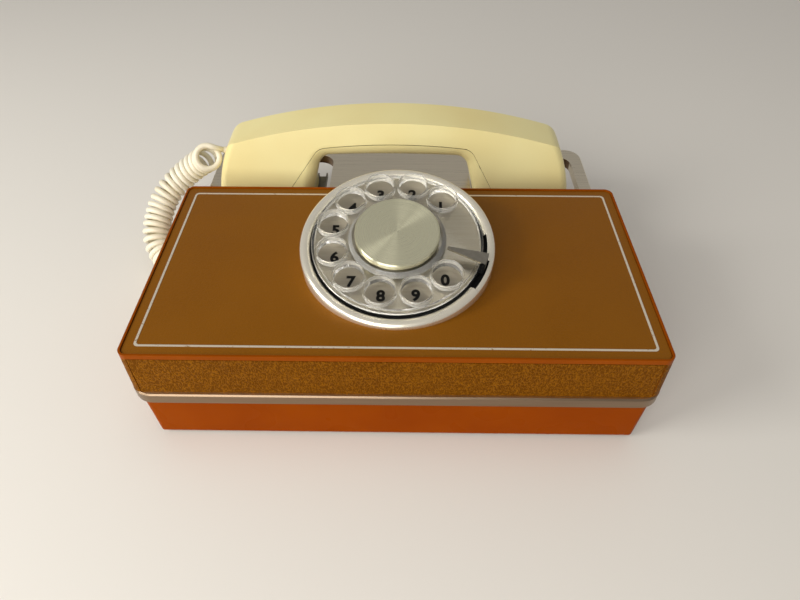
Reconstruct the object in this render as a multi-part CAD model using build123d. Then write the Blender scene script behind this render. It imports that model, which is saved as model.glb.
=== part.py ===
from build123d import *
import os
from math import asin, cos, degrees, hypot, pi, radians, sin, sqrt, tan

# A desk telephone: a flat box with a tilted dial, and a handset lying behind it in a cradle frame.
# Millimetres and degrees, Z up. The dial faces -Y, towards the person who dials.
# The origin is on the table, under the middle of the cradle frame.

# Box: base tray, cradle frame and top casing, stacked
box_width = 228.6
box_depth = 117.4
box_corner = 4.0
foot_height = 2.0
base_height = 28.7
frame_thickness = 5.6
casing_height = 24.2
wall = 2.5
casing_draft = 1.9
base_draft = 1.6
base_setback = 0.8
running_gap = 0.3
slip_gap = 0.05

# Vinyl panels and the silver line on the top one
lip_width = 1.0
panel_recess = 1.4
panel_thickness = 0.8
panel_gap = 0.3
front_strip = 2.5
front_edge = 3.6
stripe_inset = 5.4
stripe_width = 1.0
stripe_corner = 2.0
stripe_thickness = 0.2

# Cradle frame
frame_side = 2.3
frame_depth = 198.2
frame_overhang = 2.5
frame_corner = 10.0
frame_rim = 20.0
frame_edge = 0.7
side_bar = 7.8
back_bar = 9.0
deck_width = 86.0
window_setback = 3.3
window_corner = 9.0

# Casing screws, feet and the rear arms that carry the handset
screw_inset = 11.0
screw_radius = 1.9
screw_head_radius = 3.4
screw_head_height = 2.2
screw_sink = 3.0
screw_grip = 12.0
boss_wall = 1.9
post_radius = 4.5
foot_radius = 7.0
foot_inset = 24.0
arm_inset = 37.3
arm_width = 40.0
arm_length = 54.0
pad_thickness = 1.5
pad_margin = 2.0

# Handset
handset_play = 13.2
handset_height = 58.0
handset_arch = 14.0
handset_top_width = 23.1
handset_lean = 0.27
handset_wall = 2.2
handset_shift = -3.7
handset_drop = 4.2
end_radius = 82.0
end_belly = 6.0
shoulder_round = 9.0
heel_round = 4.0
corner_round = 5.0
corner_hair = 0.01
notch_clear = 5.8
notch_top_width = 82.0
notch_height = 38.5
notch_rise = 1.3
notch_foot = 8.0
notch_round = 8.0
notch_bend = 14.0
crown_round = 7.0
seam_left = (41.7, 65.8)
seam_right = (43.5, 61.8)
seam_height = 47.0
seam_rise = 3.0
seam_skirt = 12.0
seam_gap = 0.3
capsule_radius = 17.0
capsule_height = 12.0
capsule_rim = 2.0
sound_hole_radius = 1.2
sound_ring = 6.0
handset_screw_offset = 24.0
handset_screw_radius = 1.2
handset_screw_head = 2.4
handset_screw_sink = 1.2
boot_height = 34.0
boot_radius = 3.4
boot_length = 2.2
boot_grip = 8.4

# Dial, seen along its own tilted axis, with heights from the plane of the bezel's rim
dial_tilt = 13.0
dial_offset = 0.2
dial_front_rise = 2.0
bezel_radius = 45.0
bezel_inner_radius = 40.2
bezel_wall = 2.0
bezel_lip = 3.0
bezel_shoulder = 1.6
mount_thickness = 3.0
dial_screw_radius = 0.8
dial_screw_head = 1.2
dial_screw_inset = 1.1
plate_radius = 38.4
plate_thickness = 0.7
plate_depth = 0.9
platform_overlap = 1.6
wheel_radius = 37.8
wheel_lift = 0.5
wheel_web = 2.0
hole_circle = 30.4
hole_radius = 6.7
hole_count = 10
hole_step = 30.0
hole_first_angle = 46.6
collar_wall = 0.75
collar_top = 5.0
hub_foot_radius = 22.4
hub_top_radius = 20.6
hub_top = 4.8
hub_hollow_radius = 12.0
disc_radius = 19.3
disc_thickness = 2.6
dial_shaft_radius = 3.0
nut_radius = 6.0
nut_height = 1.8

# Finger stop, which gives a little when a finger pushes it
stop_angle = -19.5
stop_travel = 12.0
stop_tip_radius = 23.8
stop_root_radius = 42.2
stop_root_width = 6.2
stop_tip_width = 1.2
stop_thickness = 1.0
stop_stem = 1.6
stop_slot_radius = 43.0
stop_slit_radius = 41.3
stop_slit_angle = 26.0
stop_ring_thickness = 1.1

# Dial works under the mount
main_teeth = 48
main_module = 0.8
pulse_teeth = 12
pulse_wheel_teeth = 36
governor_module = 0.6
governor_teeth = 12
gear_thickness = 1.5
pulse_angle = 215.0
governor_angle = 318.0
spring_turns = 3
spring_inner_radius = 5.0
spring_pitch = 2.2
spring_strip = 0.6
spring_height = 4.0
barrel_wall = 1.2
cup_radius = 8.7
cup_wall = 1.2
governor_arm = 7.4
governor_weight = 3.0
pinion_shaft_radius = 1.2
cam_radius = 4.4
cam_lobe = 1.4
cam_thickness = 1.4
bridge_depth = 23.0
bridge_thickness = 1.5
bridge_radius = 34.0
bridge_post_radius = 3.0
bridge_post_circle = 30.0
bridge_post_angles = (20.0, 125.0, 290.0)
contact_strip = 0.4
contact_spacing = 1.6
contact_foot = 6.0
contact_reach = 2.0

# Ringer, network and other works on the chassis
chassis_thickness = 1.2
chassis_margin = 20.5
standoff_height = 4.0
standoff_radius = 4.0
gong_radius = 18.0
gong_height = 12.0
gong_thickness = 1.2
gong_spacing = 45.0
gong_lift = 5.0
gong_post_radius = 2.0
ringer_inset = 42.3
ringer_setback = 4.0
clapper_length = 26.0
clapper_ball = 2.4
striker_round = 1.8
clapper_rod = 0.9
clapper_pin = 1.2
clapper_hub = 3.0
coil_radius = 8.0
coil_length = 26.0
core_radius = 3.0
network_length = 46.0
network_width = 40.0
network_height = 15.0
network_inset = 52.3
capacitor_radius = 8.0
capacitor_length = 34.0
terminal_count = 6
terminal_pitch = 9.0
terminal_radius = 2.2

# Hook lever, in the left window beside the deck
lever_clear = 7.9
lever_width = 6.2
lever_flange = 3.5
lever_sheet = 0.8
lever_reach = 70.6
lever_tail = 8.0
lever_pivot_inset = 6.5
lever_pin_radius = 1.2
lever_slot_gap = 1.0
contact_block = 5.0
contact_leaves = 3
cheek_thickness = 1.2

# Cord inlets in the base
inlet_radius = 5.0
inlet_flange_radius = 7.0
inlet_flange = 2.0
inlet_height = 12.5
cord_inlet_y = 30.0
line_inlet_x = 20.0
line_hole_radius = 2.4

# Curly handset cord: the middle of its curls runs through these points, given from the box's left side
cord_wire = 2.5
curl_radius = 5.7
curl_count = 24.75
cord_route = [
    (0.8, 53.0, 56.0),
    (-9.7, 60.2, 47.5),
    (-23.7, 56.8, 37.5),
    (-32.7, 44.0, 27.5),
    (-33.0, 28.5, 17.8),
    (-26.2, 15.0, 11.0),
    (-15.7, 3.5, 9.5),
]

# Heights, lengths and middles that follow from the sizes above
frame_width = box_width + 2 * frame_side
handset_length = frame_width - 2 * side_bar - handset_play
notch_width = deck_width + 2 * notch_clear
arm_offset = box_width / 2 - arm_inset
ringer_x = ringer_inset - box_width / 2
network_x = box_width / 2 - network_inset
lever_x = -deck_width / 2 - lever_clear
frame_z = foot_height + base_height
casing_z = frame_z + frame_thickness
top_z = casing_z + casing_height
floor_z = foot_height + wall
roof = panel_recess + wall
panel_top = top_z - panel_recess + panel_thickness
box_y = -frame_depth / 2 + frame_overhang + box_depth / 2
box_back = box_y + box_depth / 2
ringer_y = box_y - ringer_setback
window_front = box_back + window_setback
window_back = frame_depth / 2 - back_bar
handset_y = (window_front + window_back) / 2
handset_z = frame_z - handset_drop
arm_top = handset_z - running_gap - pad_thickness
screw_x = box_width / 2 - screw_inset
screw_y = box_depth / 2 - screw_inset
boss_radius = screw_head_radius + boss_wall
chassis_z = floor_z + standoff_height
deck_z = chassis_z + chassis_thickness
dial_plane = Plane(
    origin=(0, box_y + dial_offset, top_z + dial_front_rise + bezel_radius * sin(radians(dial_tilt))),
    x_dir=(1, 0, 0),
    z_dir=(0, -sin(radians(dial_tilt)), cos(radians(dial_tilt))),
)
opening_radius = bezel_radius - bezel_wall - slip_gap
mount_radius = opening_radius - panel_gap
mount_top = -bezel_lip
mount_low = mount_top - mount_thickness
plate_low = -plate_depth - plate_thickness
platform_radius = plate_radius - platform_overlap
pulse_distance = main_module * (main_teeth + pulse_teeth) / 2
governor_distance = governor_module * (pulse_wheel_teeth + governor_teeth) / 2
works_top = mount_low - spring_height - 2 * running_gap
main_gear_low = works_top - running_gap - gear_thickness
train_gear_low = main_gear_low - 2 * running_gap - 2 * gear_thickness
bridge_top = -bridge_depth
lever_y = box_back - lever_pivot_inset
lever_top = handset_z - running_gap
lever_low = lever_top - lever_flange
lever_pin_z = lever_low + lever_flange / 2


def polar(radius, angle):
    """A point in the plane of the dial."""
    return (radius * cos(radians(angle)), radius * sin(radians(angle)))


def upright(radius, low, high, at=(0, 0)):
    """A cylinder standing between two heights."""
    return Pos(at[0], at[1], low) * Cylinder(
        radius, high - low, align=(Align.CENTER, Align.CENTER, Align.MIN)
    )


def tube(outer, inner, low, high, at=(0, 0)):
    """A standing cylinder with a bore."""
    return upright(outer, low, high, at) - upright(inner, low, high, at)


def block(x, y, z):
    """A box given by its three pairs of limits."""
    size = (x[1] - x[0], y[1] - y[0], z[1] - z[0])
    return Pos((x[0] + x[1]) / 2, (y[0] + y[1]) / 2, (z[0] + z[1]) / 2) * Box(*size)


def mirrored(shape):
    """The shape with its copy across the middle plane of the telephone."""
    return shape + mirror(shape, about=Plane.YZ)


def four_corners(x, y):
    """The four points around the middle of the box."""
    return [(sx * x, box_y + sy * y) for sx in (-1, 1) for sy in (-1, 1)]


def casing_margin(z):
    """How far the casing's drafted wall stands out from the lip at a height."""
    return (top_z - z) * tan(radians(casing_draft))


def base_margin(z):
    """How far the base's wall stands out from the lip at a height, a negative number."""
    return -base_setback - (frame_z - z) * tan(radians(base_draft))


def box_outline(z, margin):
    """The box's rounded outline at a height, grown outwards by a margin."""
    corner = max(box_corner + margin, 0.5)
    return Plane((0, box_y, z)) * RectangleRounded(
        box_width + 2 * margin, box_depth + 2 * margin, corner
    )


def box_wall(low, high, margin, inset):
    """A solid between two heights whose sides follow the box's draft."""
    ends = [box_outline(z, margin(z) - inset) for z in (low, high)]
    return loft(ends, ruled=True)


def front_slab(edge, strip, lift, depth, thickness):
    """A slab that lies in the drafted front wall, from near its foot to the strip below the lip."""
    foot = box_y - box_depth / 2 - casing_margin(casing_z)
    plane = Plane(
        origin=(0, foot, casing_z),
        x_dir=(1, 0, 0),
        z_dir=(0, -cos(radians(casing_draft)), sin(radians(casing_draft))),
    )
    tall = (casing_height - strip) / cos(radians(casing_draft)) - lift
    outline = Rectangle(box_width - 2 * edge, tall, align=(Align.CENTER, Align.MIN))
    return plane * Pos(0, lift, -depth) * extrude(outline, thickness)


def dial_bore(low, high):
    """The round opening for the dial, along the dial's own axis."""
    return dial_plane * upright(opening_radius, low, high)


def top_casing():
    casing = box_wall(casing_z, top_z, casing_margin, 0)
    casing -= box_wall(casing_z, top_z - roof, casing_margin, wall)
    casing -= extrude(box_outline(top_z - panel_recess, -lip_width), panel_recess)
    casing -= front_slab(front_edge, front_strip, 0, panel_thickness, panel_thickness + wall)
    for spot in four_corners(screw_x, screw_y):
        casing += upright(post_radius, casing_z, top_z - roof, spot)
        casing -= upright(screw_radius + slip_gap, casing_z, casing_z + screw_grip + wall, spot)
    return casing - dial_bore(-bezel_radius, bezel_radius)


def top_panel():
    low = top_z - panel_recess
    panel = extrude(box_outline(low, -lip_width - panel_gap), panel_thickness)
    panel -= dial_bore(-bezel_radius, bezel_radius)
    return panel - extrude(stripe_outline(panel_top - stripe_thickness / 2), stripe_thickness)


def stripe_outline(z):
    """The closed line near the edge of the top panel."""
    wide = box_width - 2 * stripe_inset
    deep = box_depth - 2 * stripe_inset
    line = RectangleRounded(wide, deep, stripe_corner)
    line -= RectangleRounded(
        wide - 2 * stripe_width, deep - 2 * stripe_width, stripe_corner - stripe_width / 2
    )
    return Plane((0, box_y, z)) * line


def pinstripe():
    return extrude(stripe_outline(panel_top - stripe_thickness / 2), stripe_thickness)


def front_panel():
    edge = front_edge + panel_gap
    strip = front_strip + panel_gap
    return front_slab(edge, strip, slip_gap, panel_thickness, panel_thickness - slip_gap)


def cradle_frame():
    outline = RectangleRounded(frame_width, frame_depth, frame_corner)
    under_box = RectangleRounded(box_width - 2 * frame_rim, box_depth - 2 * frame_rim, box_corner)
    outline -= Pos(0, box_y) * under_box
    window_inner = deck_width / 2
    window_outer = frame_width / 2 - side_bar
    window = RectangleRounded(window_outer - window_inner, window_back - window_front, window_corner)
    for side in (-1, 1):
        outline -= Pos(side * (window_inner + window_outer) / 2, handset_y) * window
    for spot in four_corners(screw_x, screw_y):
        outline -= Pos(*spot) * Circle(screw_radius + running_gap)
    frame = extrude(Pos(0, 0, frame_z) * outline, frame_thickness)
    rim = frame.faces().sort_by(Axis.Z)[-1].outer_wire().edges()
    return chamfer(rim, frame_edge)


def rest_arm():
    """One hollow arm behind the box, with a boss over its foot."""
    near = box_back + base_margin(foot_height) - wall / 2
    far = box_back + base_margin(frame_z) + arm_length
    left = arm_offset - arm_width / 2
    right = arm_offset + arm_width / 2
    arm = block((left, right), (near, far), (foot_height, arm_top))
    arm = fillet(arm.edges().filter_by(Axis.Z).sort_by(Axis.Y)[-2:], box_corner)
    hollow_near = near + wall
    arm -= block((left + wall, right - wall), (hollow_near, far - wall), (foot_height, arm_top - wall))
    return arm + upright(foot_radius, foot_height, arm_top - wall, (arm_offset, arm_foot_y()))


def arm_foot_y():
    """Where the rear feet stand, near the end of the arms."""
    return box_back + base_margin(frame_z) + arm_length - foot_radius - wall - running_gap


def lever_slot():
    """The slot in the base's rear wall that the hook lever comes out of."""
    half = lever_width / 2 + lever_slot_gap
    tall = (lever_low - 2 * lever_slot_gap, lever_top + 3 * lever_slot_gap)
    return block((lever_x - half, lever_x + half), (box_back - 2 * wall, box_back + wall), tall)


def sideways(radius, low, high, y, z):
    """A cylinder lying along X between two places."""
    lying = Cylinder(radius, high - low, align=(Align.CENTER, Align.CENTER, Align.MIN))
    return Pos(low, y, z) * Rot(0, 90, 0) * lying


def lengthways(radius, low, high, x, z):
    """A cylinder lying along Y between two places."""
    lying = Cylinder(radius, high - low, align=(Align.CENTER, Align.CENTER, Align.MIN))
    return Pos(x, high, z) * Rot(90, 0, 0) * lying


def base_tray():
    tray = box_wall(foot_height, frame_z, base_margin, 0)
    tray -= box_wall(floor_z, frame_z, base_margin, wall)
    tray += mirrored(rest_arm())
    for spot in four_corners(screw_x, screw_y):
        tray += upright(boss_radius, floor_z, frame_z, spot)
        tray -= upright(screw_radius + running_gap, foot_height, frame_z, spot)
        tray -= upright(screw_head_radius + running_gap, foot_height, screw_seat(), spot)
    for spot in four_corners(*standoff_spots()):
        tray += upright(standoff_radius, floor_z, chassis_z, spot)
    tray -= lever_slot()
    side = -box_width / 2
    tray -= sideways(inlet_radius, side - wall, side + 3 * wall, box_y + cord_inlet_y, inlet_height)
    return tray - lengthways(inlet_radius, box_back - 3 * wall, box_back + wall, line_inlet_x, inlet_height)


def screw_seat():
    """The height of the face that the casing screws' heads bear on."""
    return foot_height + screw_sink + screw_head_height


def standoff_spots():
    """Half the spacing of the chassis standoffs, across and along."""
    inset = chassis_margin + 2 * standoff_radius
    return box_width / 2 - inset, box_depth / 2 - inset


def casing_screws():
    screws = Part()
    for spot in four_corners(screw_x, screw_y):
        screws += upright(screw_head_radius, screw_seat() - screw_head_height, screw_seat(), spot)
        screws += upright(screw_radius, screw_seat(), casing_z + screw_grip, spot)
    return screws


def rubber_feet():
    front = box_y - box_depth / 2 + foot_inset
    feet = upright(foot_radius, 0, foot_height, (box_width / 2 - foot_inset, front))
    feet += upright(foot_radius, 0, foot_height, (arm_offset, arm_foot_y()))
    return mirrored(feet)


def rest_pads():
    near = box_back + wall + pad_margin
    far = box_back + base_margin(frame_z) + arm_length - box_corner
    half = arm_width / 2 - pad_margin
    limits = (arm_offset - half, arm_offset + half)
    return mirrored(block(limits, (near, far), (arm_top, arm_top + pad_thickness)))


def end_x(z, inset=0):
    """Half the handset's length at a height, on its bulging ends."""
    return handset_length / 2 - end_radius + sqrt((end_radius - inset) ** 2 - (z - end_belly) ** 2)


def arch_radius():
    """The radius of the handset's arched back."""
    half = end_x(handset_height - handset_arch)
    return (half**2 + handset_arch**2) / (2 * handset_arch)


def faced(lines):
    """A face inside a closed chain of lines and arcs."""
    return make_face([edge for line in lines for edge in line.edges()])


def rounded(face, corners):
    """The face with both of its corners at each place rounded, the one and its mirror image."""
    for x, z, radius in corners:
        for side in (-1, 1):
            corner = face.vertices().sort_by_distance((side * x, z, 0))[0]
            face = fillet(corner, radius)
    return face


def handset_outline():
    """The handset seen from the front: an arch with a deep notch between its two ends."""
    shoulder_z = handset_height - handset_arch
    heel, middle, shoulder = [end_x(z) for z in (0, shoulder_z / 2, shoulder_z)]
    foot = notch_width / 2
    crest = notch_top_width / 2
    crest_z = notch_height - notch_rise
    face = faced([
        ThreePointArc((-shoulder, shoulder_z), (0, handset_height), (shoulder, shoulder_z)),
        ThreePointArc((shoulder, shoulder_z), (middle, shoulder_z / 2), (heel, 0)),
        Polyline((heel, 0), (foot, 0), (foot, notch_foot), (crest, crest_z)),
        ThreePointArc((crest, crest_z), (0, notch_height), (-crest, crest_z)),
        Polyline((-crest, crest_z), (-foot, notch_foot), (-foot, 0), (-heel, 0)),
        ThreePointArc((-heel, 0), (-middle, shoulder_z / 2), (-shoulder, shoulder_z)),
    ])
    return rounded(face, [
        (shoulder, shoulder_z, shoulder_round),
        (heel, 0, heel_round),
        (foot, notch_foot, notch_bend),
        (crest, crest_z, notch_round),
    ])


def handset_wedge(inset):
    """The handset's leaning sides, swept round the arch and carried on above its top."""
    radius = arch_radius()
    low = -wall
    high = handset_height + wall
    narrow = handset_top_width / 2 - inset - handset_lean * wall
    wide = narrow + handset_lean * (high - low)
    section = Polygon((-narrow, high), (narrow, high), (wide, low), (-wide, low), align=None)
    half_turn = degrees(asin((handset_length / 2 + wall) / (radius - high)))
    axis = Axis((0, 0, handset_height - radius), (0, 1, 0))
    start = (Plane.YZ * section).rotate(axis, -half_turn)
    return revolve(start, axis, 2 * half_turn)


def handset_blank():
    """The handset's sides and bulging ends a hair oversize, with its upright corners rounded."""
    low, middle, high = -wall, handset_height / 3, handset_height - handset_arch / 2
    top = handset_height + 2 * wall
    foot, waist, neck = [end_x(z, -corner_hair) for z in (low, middle, high)]
    face = faced([
        ThreePointArc((foot, low), (waist, middle), (neck, high)),
        Polyline((neck, high), (neck, top), (-neck, top), (-neck, high)),
        ThreePointArc((-neck, high), (-waist, middle), (-foot, low)),
        Line((-foot, low), (foot, low)),
    ])
    blank = extrude(Plane.XZ * face, handset_height, both=True) & handset_wedge(-corner_hair)
    tall = [e for e in blank.edges() if e.bounding_box().size.Z > handset_height / 2]
    return fillet(tall, corner_round)


def handset_form(inset):
    """The whole handset as one solid, or the hollow in it that leaves a wall all round."""
    outline = handset_outline()
    if inset:
        outline = offset(outline, -inset, kind=Kind.INTERSECTION)
    form = extrude(Plane.XZ * outline, handset_height, both=True) & handset_wedge(inset)
    if not inset:
        form &= handset_blank()
    notch = [e for e in form.edges() if is_notch_edge(e, inset)]
    return fillet(notch, crown_round - inset)


def is_notch_edge(edge, inset):
    """Whether an edge borders the notch on the handset's front or back."""
    place = edge.center()
    size = edge.bounding_box().size
    inside = abs(place.X) < notch_width / 2 + inset + slip_gap
    between = inset + slip_gap < place.Z < notch_height + inset + slip_gap
    return inside and between and size.Y < max(size.X, size.Z)


def seam_region(gap):
    """The part of the handset below the seam: the notch's lining and both cups.
    The seam spreads further from its crest to its knee on the left than on the right."""
    top = seam_height - gap
    crest_z = top - seam_rise
    skirt = seam_skirt - gap
    left_crest, left_knee = seam_left
    right_crest, right_knee = seam_right
    far = handset_length
    low = -handset_height
    face = faced([
        ThreePointArc((-left_crest, crest_z), (0, top), (right_crest, crest_z)),
        Polyline((right_crest, crest_z), (right_knee, skirt), (far, skirt), (far, low)),
        Polyline((far, low), (-far, low), (-far, skirt), (-left_knee, skirt)),
        Line((-left_knee, skirt), (-left_crest, crest_z)),
    ])
    for x, z in [(-left_crest, crest_z), (right_crest, crest_z), (-left_knee, skirt), (right_knee, skirt)]:
        corner = face.vertices().sort_by_distance((x, z, 0))[0]
        face = fillet(corner, notch_round)
    return extrude(Plane.XZ * face, handset_height, both=True)


def capsule_x():
    """The middle of each cup, where the receiver and the transmitter sit."""
    return (notch_width / 2 + handset_length / 2) / 2


def sound_holes(x):
    """A hole with a ring of six round it, through the cup's floor."""
    spots = [(x, 0)] + [(x + px, py) for px, py in (polar(sound_ring, a) for a in range(0, 360, 60))]
    holes = Part()
    for spot in spots:
        holes += upright(sound_hole_radius, -handset_wall, 2 * handset_wall, spot)
    return holes


def handset_shells():
    """The handset's outer back and its inner face, parted at the seam."""
    shell = handset_form(0) - handset_form(handset_wall)
    region = seam_region(seam_gap)
    face = shell & region
    back = shell - seam_region(0)
    for side in (-1, 1):
        face -= sound_holes(side * capsule_x())
        spot = (side * handset_screw_offset, 0)
        crest = notch_height + handset_wall + notch_rise
        post = upright(2.4 * handset_screw_radius, crest + seam_gap, handset_height - handset_wall, spot)
        back += post
        back -= upright(handset_screw_radius + slip_gap, 0, screw_top(), spot)
        face -= upright(handset_screw_radius + running_gap, 0, handset_height / 2 + crest / 2, spot)
        face -= upright(handset_screw_head + slip_gap, 0, screw_face(), spot)
    boot = sideways(boot_radius - 1, -handset_length, -capsule_x() - capsule_radius, 0, boot_height)
    return back - boot, face


def screw_face():
    """The height of the face that the handset screws' heads bear on."""
    return notch_height - notch_rise + handset_screw_sink


def screw_top():
    """The height that the handset screws' tips reach."""
    return handset_height - 2 * handset_wall - 1


def handset_screws():
    screws = Part()
    for side in (-1, 1):
        spot = (side * handset_screw_offset, 0)
        head_low = screw_face() - handset_screw_sink
        screws += upright(handset_screw_head, head_low, screw_face(), spot)
        screws += upright(handset_screw_radius, screw_face(), screw_top() - running_gap, spot)
    return screws


def capsule(side):
    """The receiver or the transmitter: a can with a narrower cap against the cup's floor."""
    spot = (side * capsule_x(), 0)
    low = handset_wall + slip_gap
    can = upright(capsule_radius - capsule_rim, low, low + capsule_rim, spot)
    can += upright(capsule_radius, low + capsule_rim, low + capsule_height, spot)
    return can + upright(capsule_radius / 3, low + capsule_height, low + capsule_height + capsule_rim, spot)


def boot_face():
    """How far out from the handset's middle the cord leaves the boot."""
    return -end_x(boot_height) - boot_length


def cord_boot():
    """The strain relief in the handset's left end, with a tapered nose."""
    nose = Pos(boot_face(), 0, boot_height) * Rot(0, 90, 0) * Cone(
        cord_wire / 2 + 0.6, boot_radius - 1 - slip_gap, boot_length + boot_grip,
        align=(Align.CENTER, Align.CENTER, Align.MIN),
    )
    return nose


def in_handset(shape):
    """Moves a handset piece from its own middle to where the handset lies."""
    return Pos(handset_shift, handset_y, handset_z) * shape


def in_dial(shape):
    """Moves a dial piece onto the tilted dial."""
    return dial_plane * shape


def slot_sector(inner, outer, first, last, low, high):
    """A piece of a ring between two angles."""
    ring = Circle(outer) - Circle(inner)
    reach = 2 * outer
    middle = (first + last) / 2
    edges = [polar(reach, first), polar(reach, middle), polar(reach, last)]
    wedge = faced([Polyline((0, 0), *edges, close=True)])
    return extrude(Pos(0, 0, low) * (ring & wedge), high - low)


def dial_screw_spots():
    """Where the dial's mount is screwed to the bezel."""
    circle = bezel_inner_radius + dial_screw_inset
    return [polar(circle, angle) for angle in (60, 180, 285)]


def dial_bezel():
    """The bright ring round the dial, with a skirt down to the top panel."""
    crest = (bezel_inner_radius + bezel_radius) / 2
    skirt = bezel_radius - bezel_wall
    deep = bezel_radius
    profile = faced([
        Polyline(
            (bezel_inner_radius, -bezel_shoulder), (bezel_inner_radius, -bezel_lip), (skirt, -bezel_lip),
            (skirt, -deep), (bezel_radius, -deep), (bezel_radius, -bezel_shoulder),
        ),
        ThreePointArc((bezel_radius, -bezel_shoulder), (crest, 0), (bezel_inner_radius, -bezel_shoulder)),
    ])
    ring = revolve(Plane.XZ * profile, Axis.Z)
    half = degrees(stop_root_width / 2 / stop_root_radius) + 1
    first = stop_angle - stop_travel - half
    ring -= slot_sector(wheel_radius, stop_slot_radius, first, stop_angle + half, -deep, 1)
    ring -= slot_sector(
        wheel_radius, stop_slit_radius, stop_angle + half - 1, stop_angle + stop_slit_angle, -deep, 1
    )
    for spot in dial_screw_spots():
        ring -= upright(dial_screw_radius + slip_gap, -bezel_lip, -bezel_shoulder, spot)
    bezel = in_dial(ring)
    return split(bezel, bisect_by=Plane.XY.offset(panel_top), keep=Keep.TOP)


def pulse_spot():
    """The axis of the pulse gear, in the plane of the dial."""
    return polar(pulse_distance, pulse_angle)


def governor_spot():
    """The axis of the governor, in the plane of the dial."""
    x, y = polar(governor_distance, governor_angle)
    return pulse_spot()[0] + x, pulse_spot()[1] + y


def bridge_spots():
    """Where the posts of the bridge stand."""
    return [polar(bridge_post_circle, angle) for angle in bridge_post_angles]


def barrel_radius():
    """The inside of the wall round the return spring."""
    return spring_inner_radius + spring_pitch * (spring_turns + 0.5) + spring_strip


def dial_mount():
    """The moulded plate that carries the number plate above and the works below."""
    mount = upright(mount_radius, mount_low, mount_top)
    mount += upright(platform_radius, mount_top, plate_low)
    inner = barrel_radius()
    mount += tube(inner + barrel_wall, inner, works_top, mount_low)
    cup = governor_spot()
    mount += tube(cup_radius + cup_wall, cup_radius, works_top, mount_low, cup)
    mount -= upright(barrel_radius(), works_top, mount_low)
    for spot in bridge_spots():
        mount += upright(bridge_post_radius, bridge_top, mount_low, spot)
        mount -= upright(dial_screw_radius + slip_gap, bridge_top, bridge_top + 2 * bridge_post_radius, spot)
    for spot in dial_screw_spots():
        mount -= upright(dial_screw_radius + 2 * slip_gap, mount_low, mount_top, spot)
    for spot, radius in ((pulse_spot(), pinion_shaft_radius), (cup, pinion_shaft_radius)):
        mount -= upright(radius + slip_gap, mount_low, mount_low + mount_thickness / 2, spot)
    return in_dial(mount - upright(dial_shaft_radius + slip_gap, -bridge_depth, 0))


def dial_screws():
    screws = Part()
    for spot in dial_screw_spots():
        screws += upright(dial_screw_head, mount_low - dial_screw_head, mount_low, spot)
        screws += upright(dial_screw_radius, mount_low, -bezel_shoulder - running_gap, spot)
    for spot in bridge_spots():
        low = bridge_top - bridge_thickness
        screws += upright(dial_screw_head, low - dial_screw_head, low, spot)
        screws += upright(dial_screw_radius, low, bridge_top + bridge_post_radius, spot)
    return in_dial(screws)


def number_plate():
    return in_dial(tube(plate_radius, dial_shaft_radius + 1, plate_low, -plate_depth))


def hole_angles():
    """The angles of the finger holes, from the digit one on."""
    return [hole_first_angle + hole_step * i for i in range(hole_count)]


def finger_wheel():
    """The clear wheel: a thin web, a collar round each finger hole, and a raised hub."""
    web_top = wheel_lift + wheel_web
    wheel = upright(wheel_radius, wheel_lift, web_top)
    for angle in hole_angles():
        wheel += upright(hole_radius + collar_wall, wheel_lift, collar_top, polar(hole_circle, angle))
    hub_height = hub_top - web_top
    wheel += Pos(0, 0, web_top) * Cone(
        hub_foot_radius, hub_top_radius, hub_height, align=(Align.CENTER, Align.CENTER, Align.MIN)
    )
    for angle in hole_angles():
        wheel -= upright(hole_radius, wheel_lift, collar_top, polar(hole_circle, angle))
    wheel -= upright(hub_hollow_radius, web_top, hub_top)
    wheel &= upright(wheel_radius, wheel_lift, collar_top)
    return in_dial(wheel - upright(dial_shaft_radius + slip_gap, wheel_lift, web_top))


def centre_disc():
    disc = upright(disc_radius, hub_top, hub_top + disc_thickness)
    edge = disc.faces().sort_by(Axis.Z)[-1].edges()
    return in_dial(chamfer(edge, disc_thickness / 4))


def wheel_nut():
    low = wheel_lift + wheel_web
    nut = extrude(Pos(0, 0, low) * RegularPolygon(nut_radius, 6), nut_height)
    return in_dial(nut - upright(dial_shaft_radius + slip_gap, low, low + nut_height))


def dial_shaft():
    shaft = upright(dial_shaft_radius, bridge_top - bridge_thickness, wheel_lift + wheel_web + nut_height)
    return in_dial(shaft)


def gear(teeth, module, low, high, bore, turn):
    """A spur gear with slack straight-sided teeth, one of them at the angle of turn."""
    pitch = teeth * module / 2
    tip = pitch + 0.75 * module
    root = pitch - 1.1 * module
    step = 360 / teeth
    flank = ((root, -0.29), (tip, -0.09), (tip, 0.09), (root, 0.29))
    corners = [polar(r, turn + step * (i + part)) for i in range(teeth) for r, part in flank]
    wheel = extrude(Pos(0, 0, low) * Polygon(*corners, align=None), high - low)
    return wheel - upright(bore, low, high)


def main_gear():
    high = main_gear_low + gear_thickness
    bore = dial_shaft_radius + slip_gap
    return in_dial(gear(main_teeth, main_module, main_gear_low, high, bore, pulse_angle))


def pulse_gear():
    """The pinion on the main gear, the wheel that drives the governor, and their shaft."""
    turn = pulse_angle + 180 + 180 / pulse_teeth
    high = main_gear_low + gear_thickness
    bore = pinion_shaft_radius / 2
    train = gear(pulse_teeth, main_module, main_gear_low, high, bore, turn)
    train_high = train_gear_low + gear_thickness
    train += gear(pulse_wheel_teeth, governor_module, train_gear_low, train_high, bore, governor_angle)
    low = bridge_top - bridge_thickness
    shaft = upright(pinion_shaft_radius, low, mount_low + mount_thickness / 2 - running_gap)
    return in_dial(Pos(*pulse_spot()) * (train + shaft))


def cam_low():
    """The underside of the pulse cam, just over the bridge."""
    return bridge_top + 2 * running_gap


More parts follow.
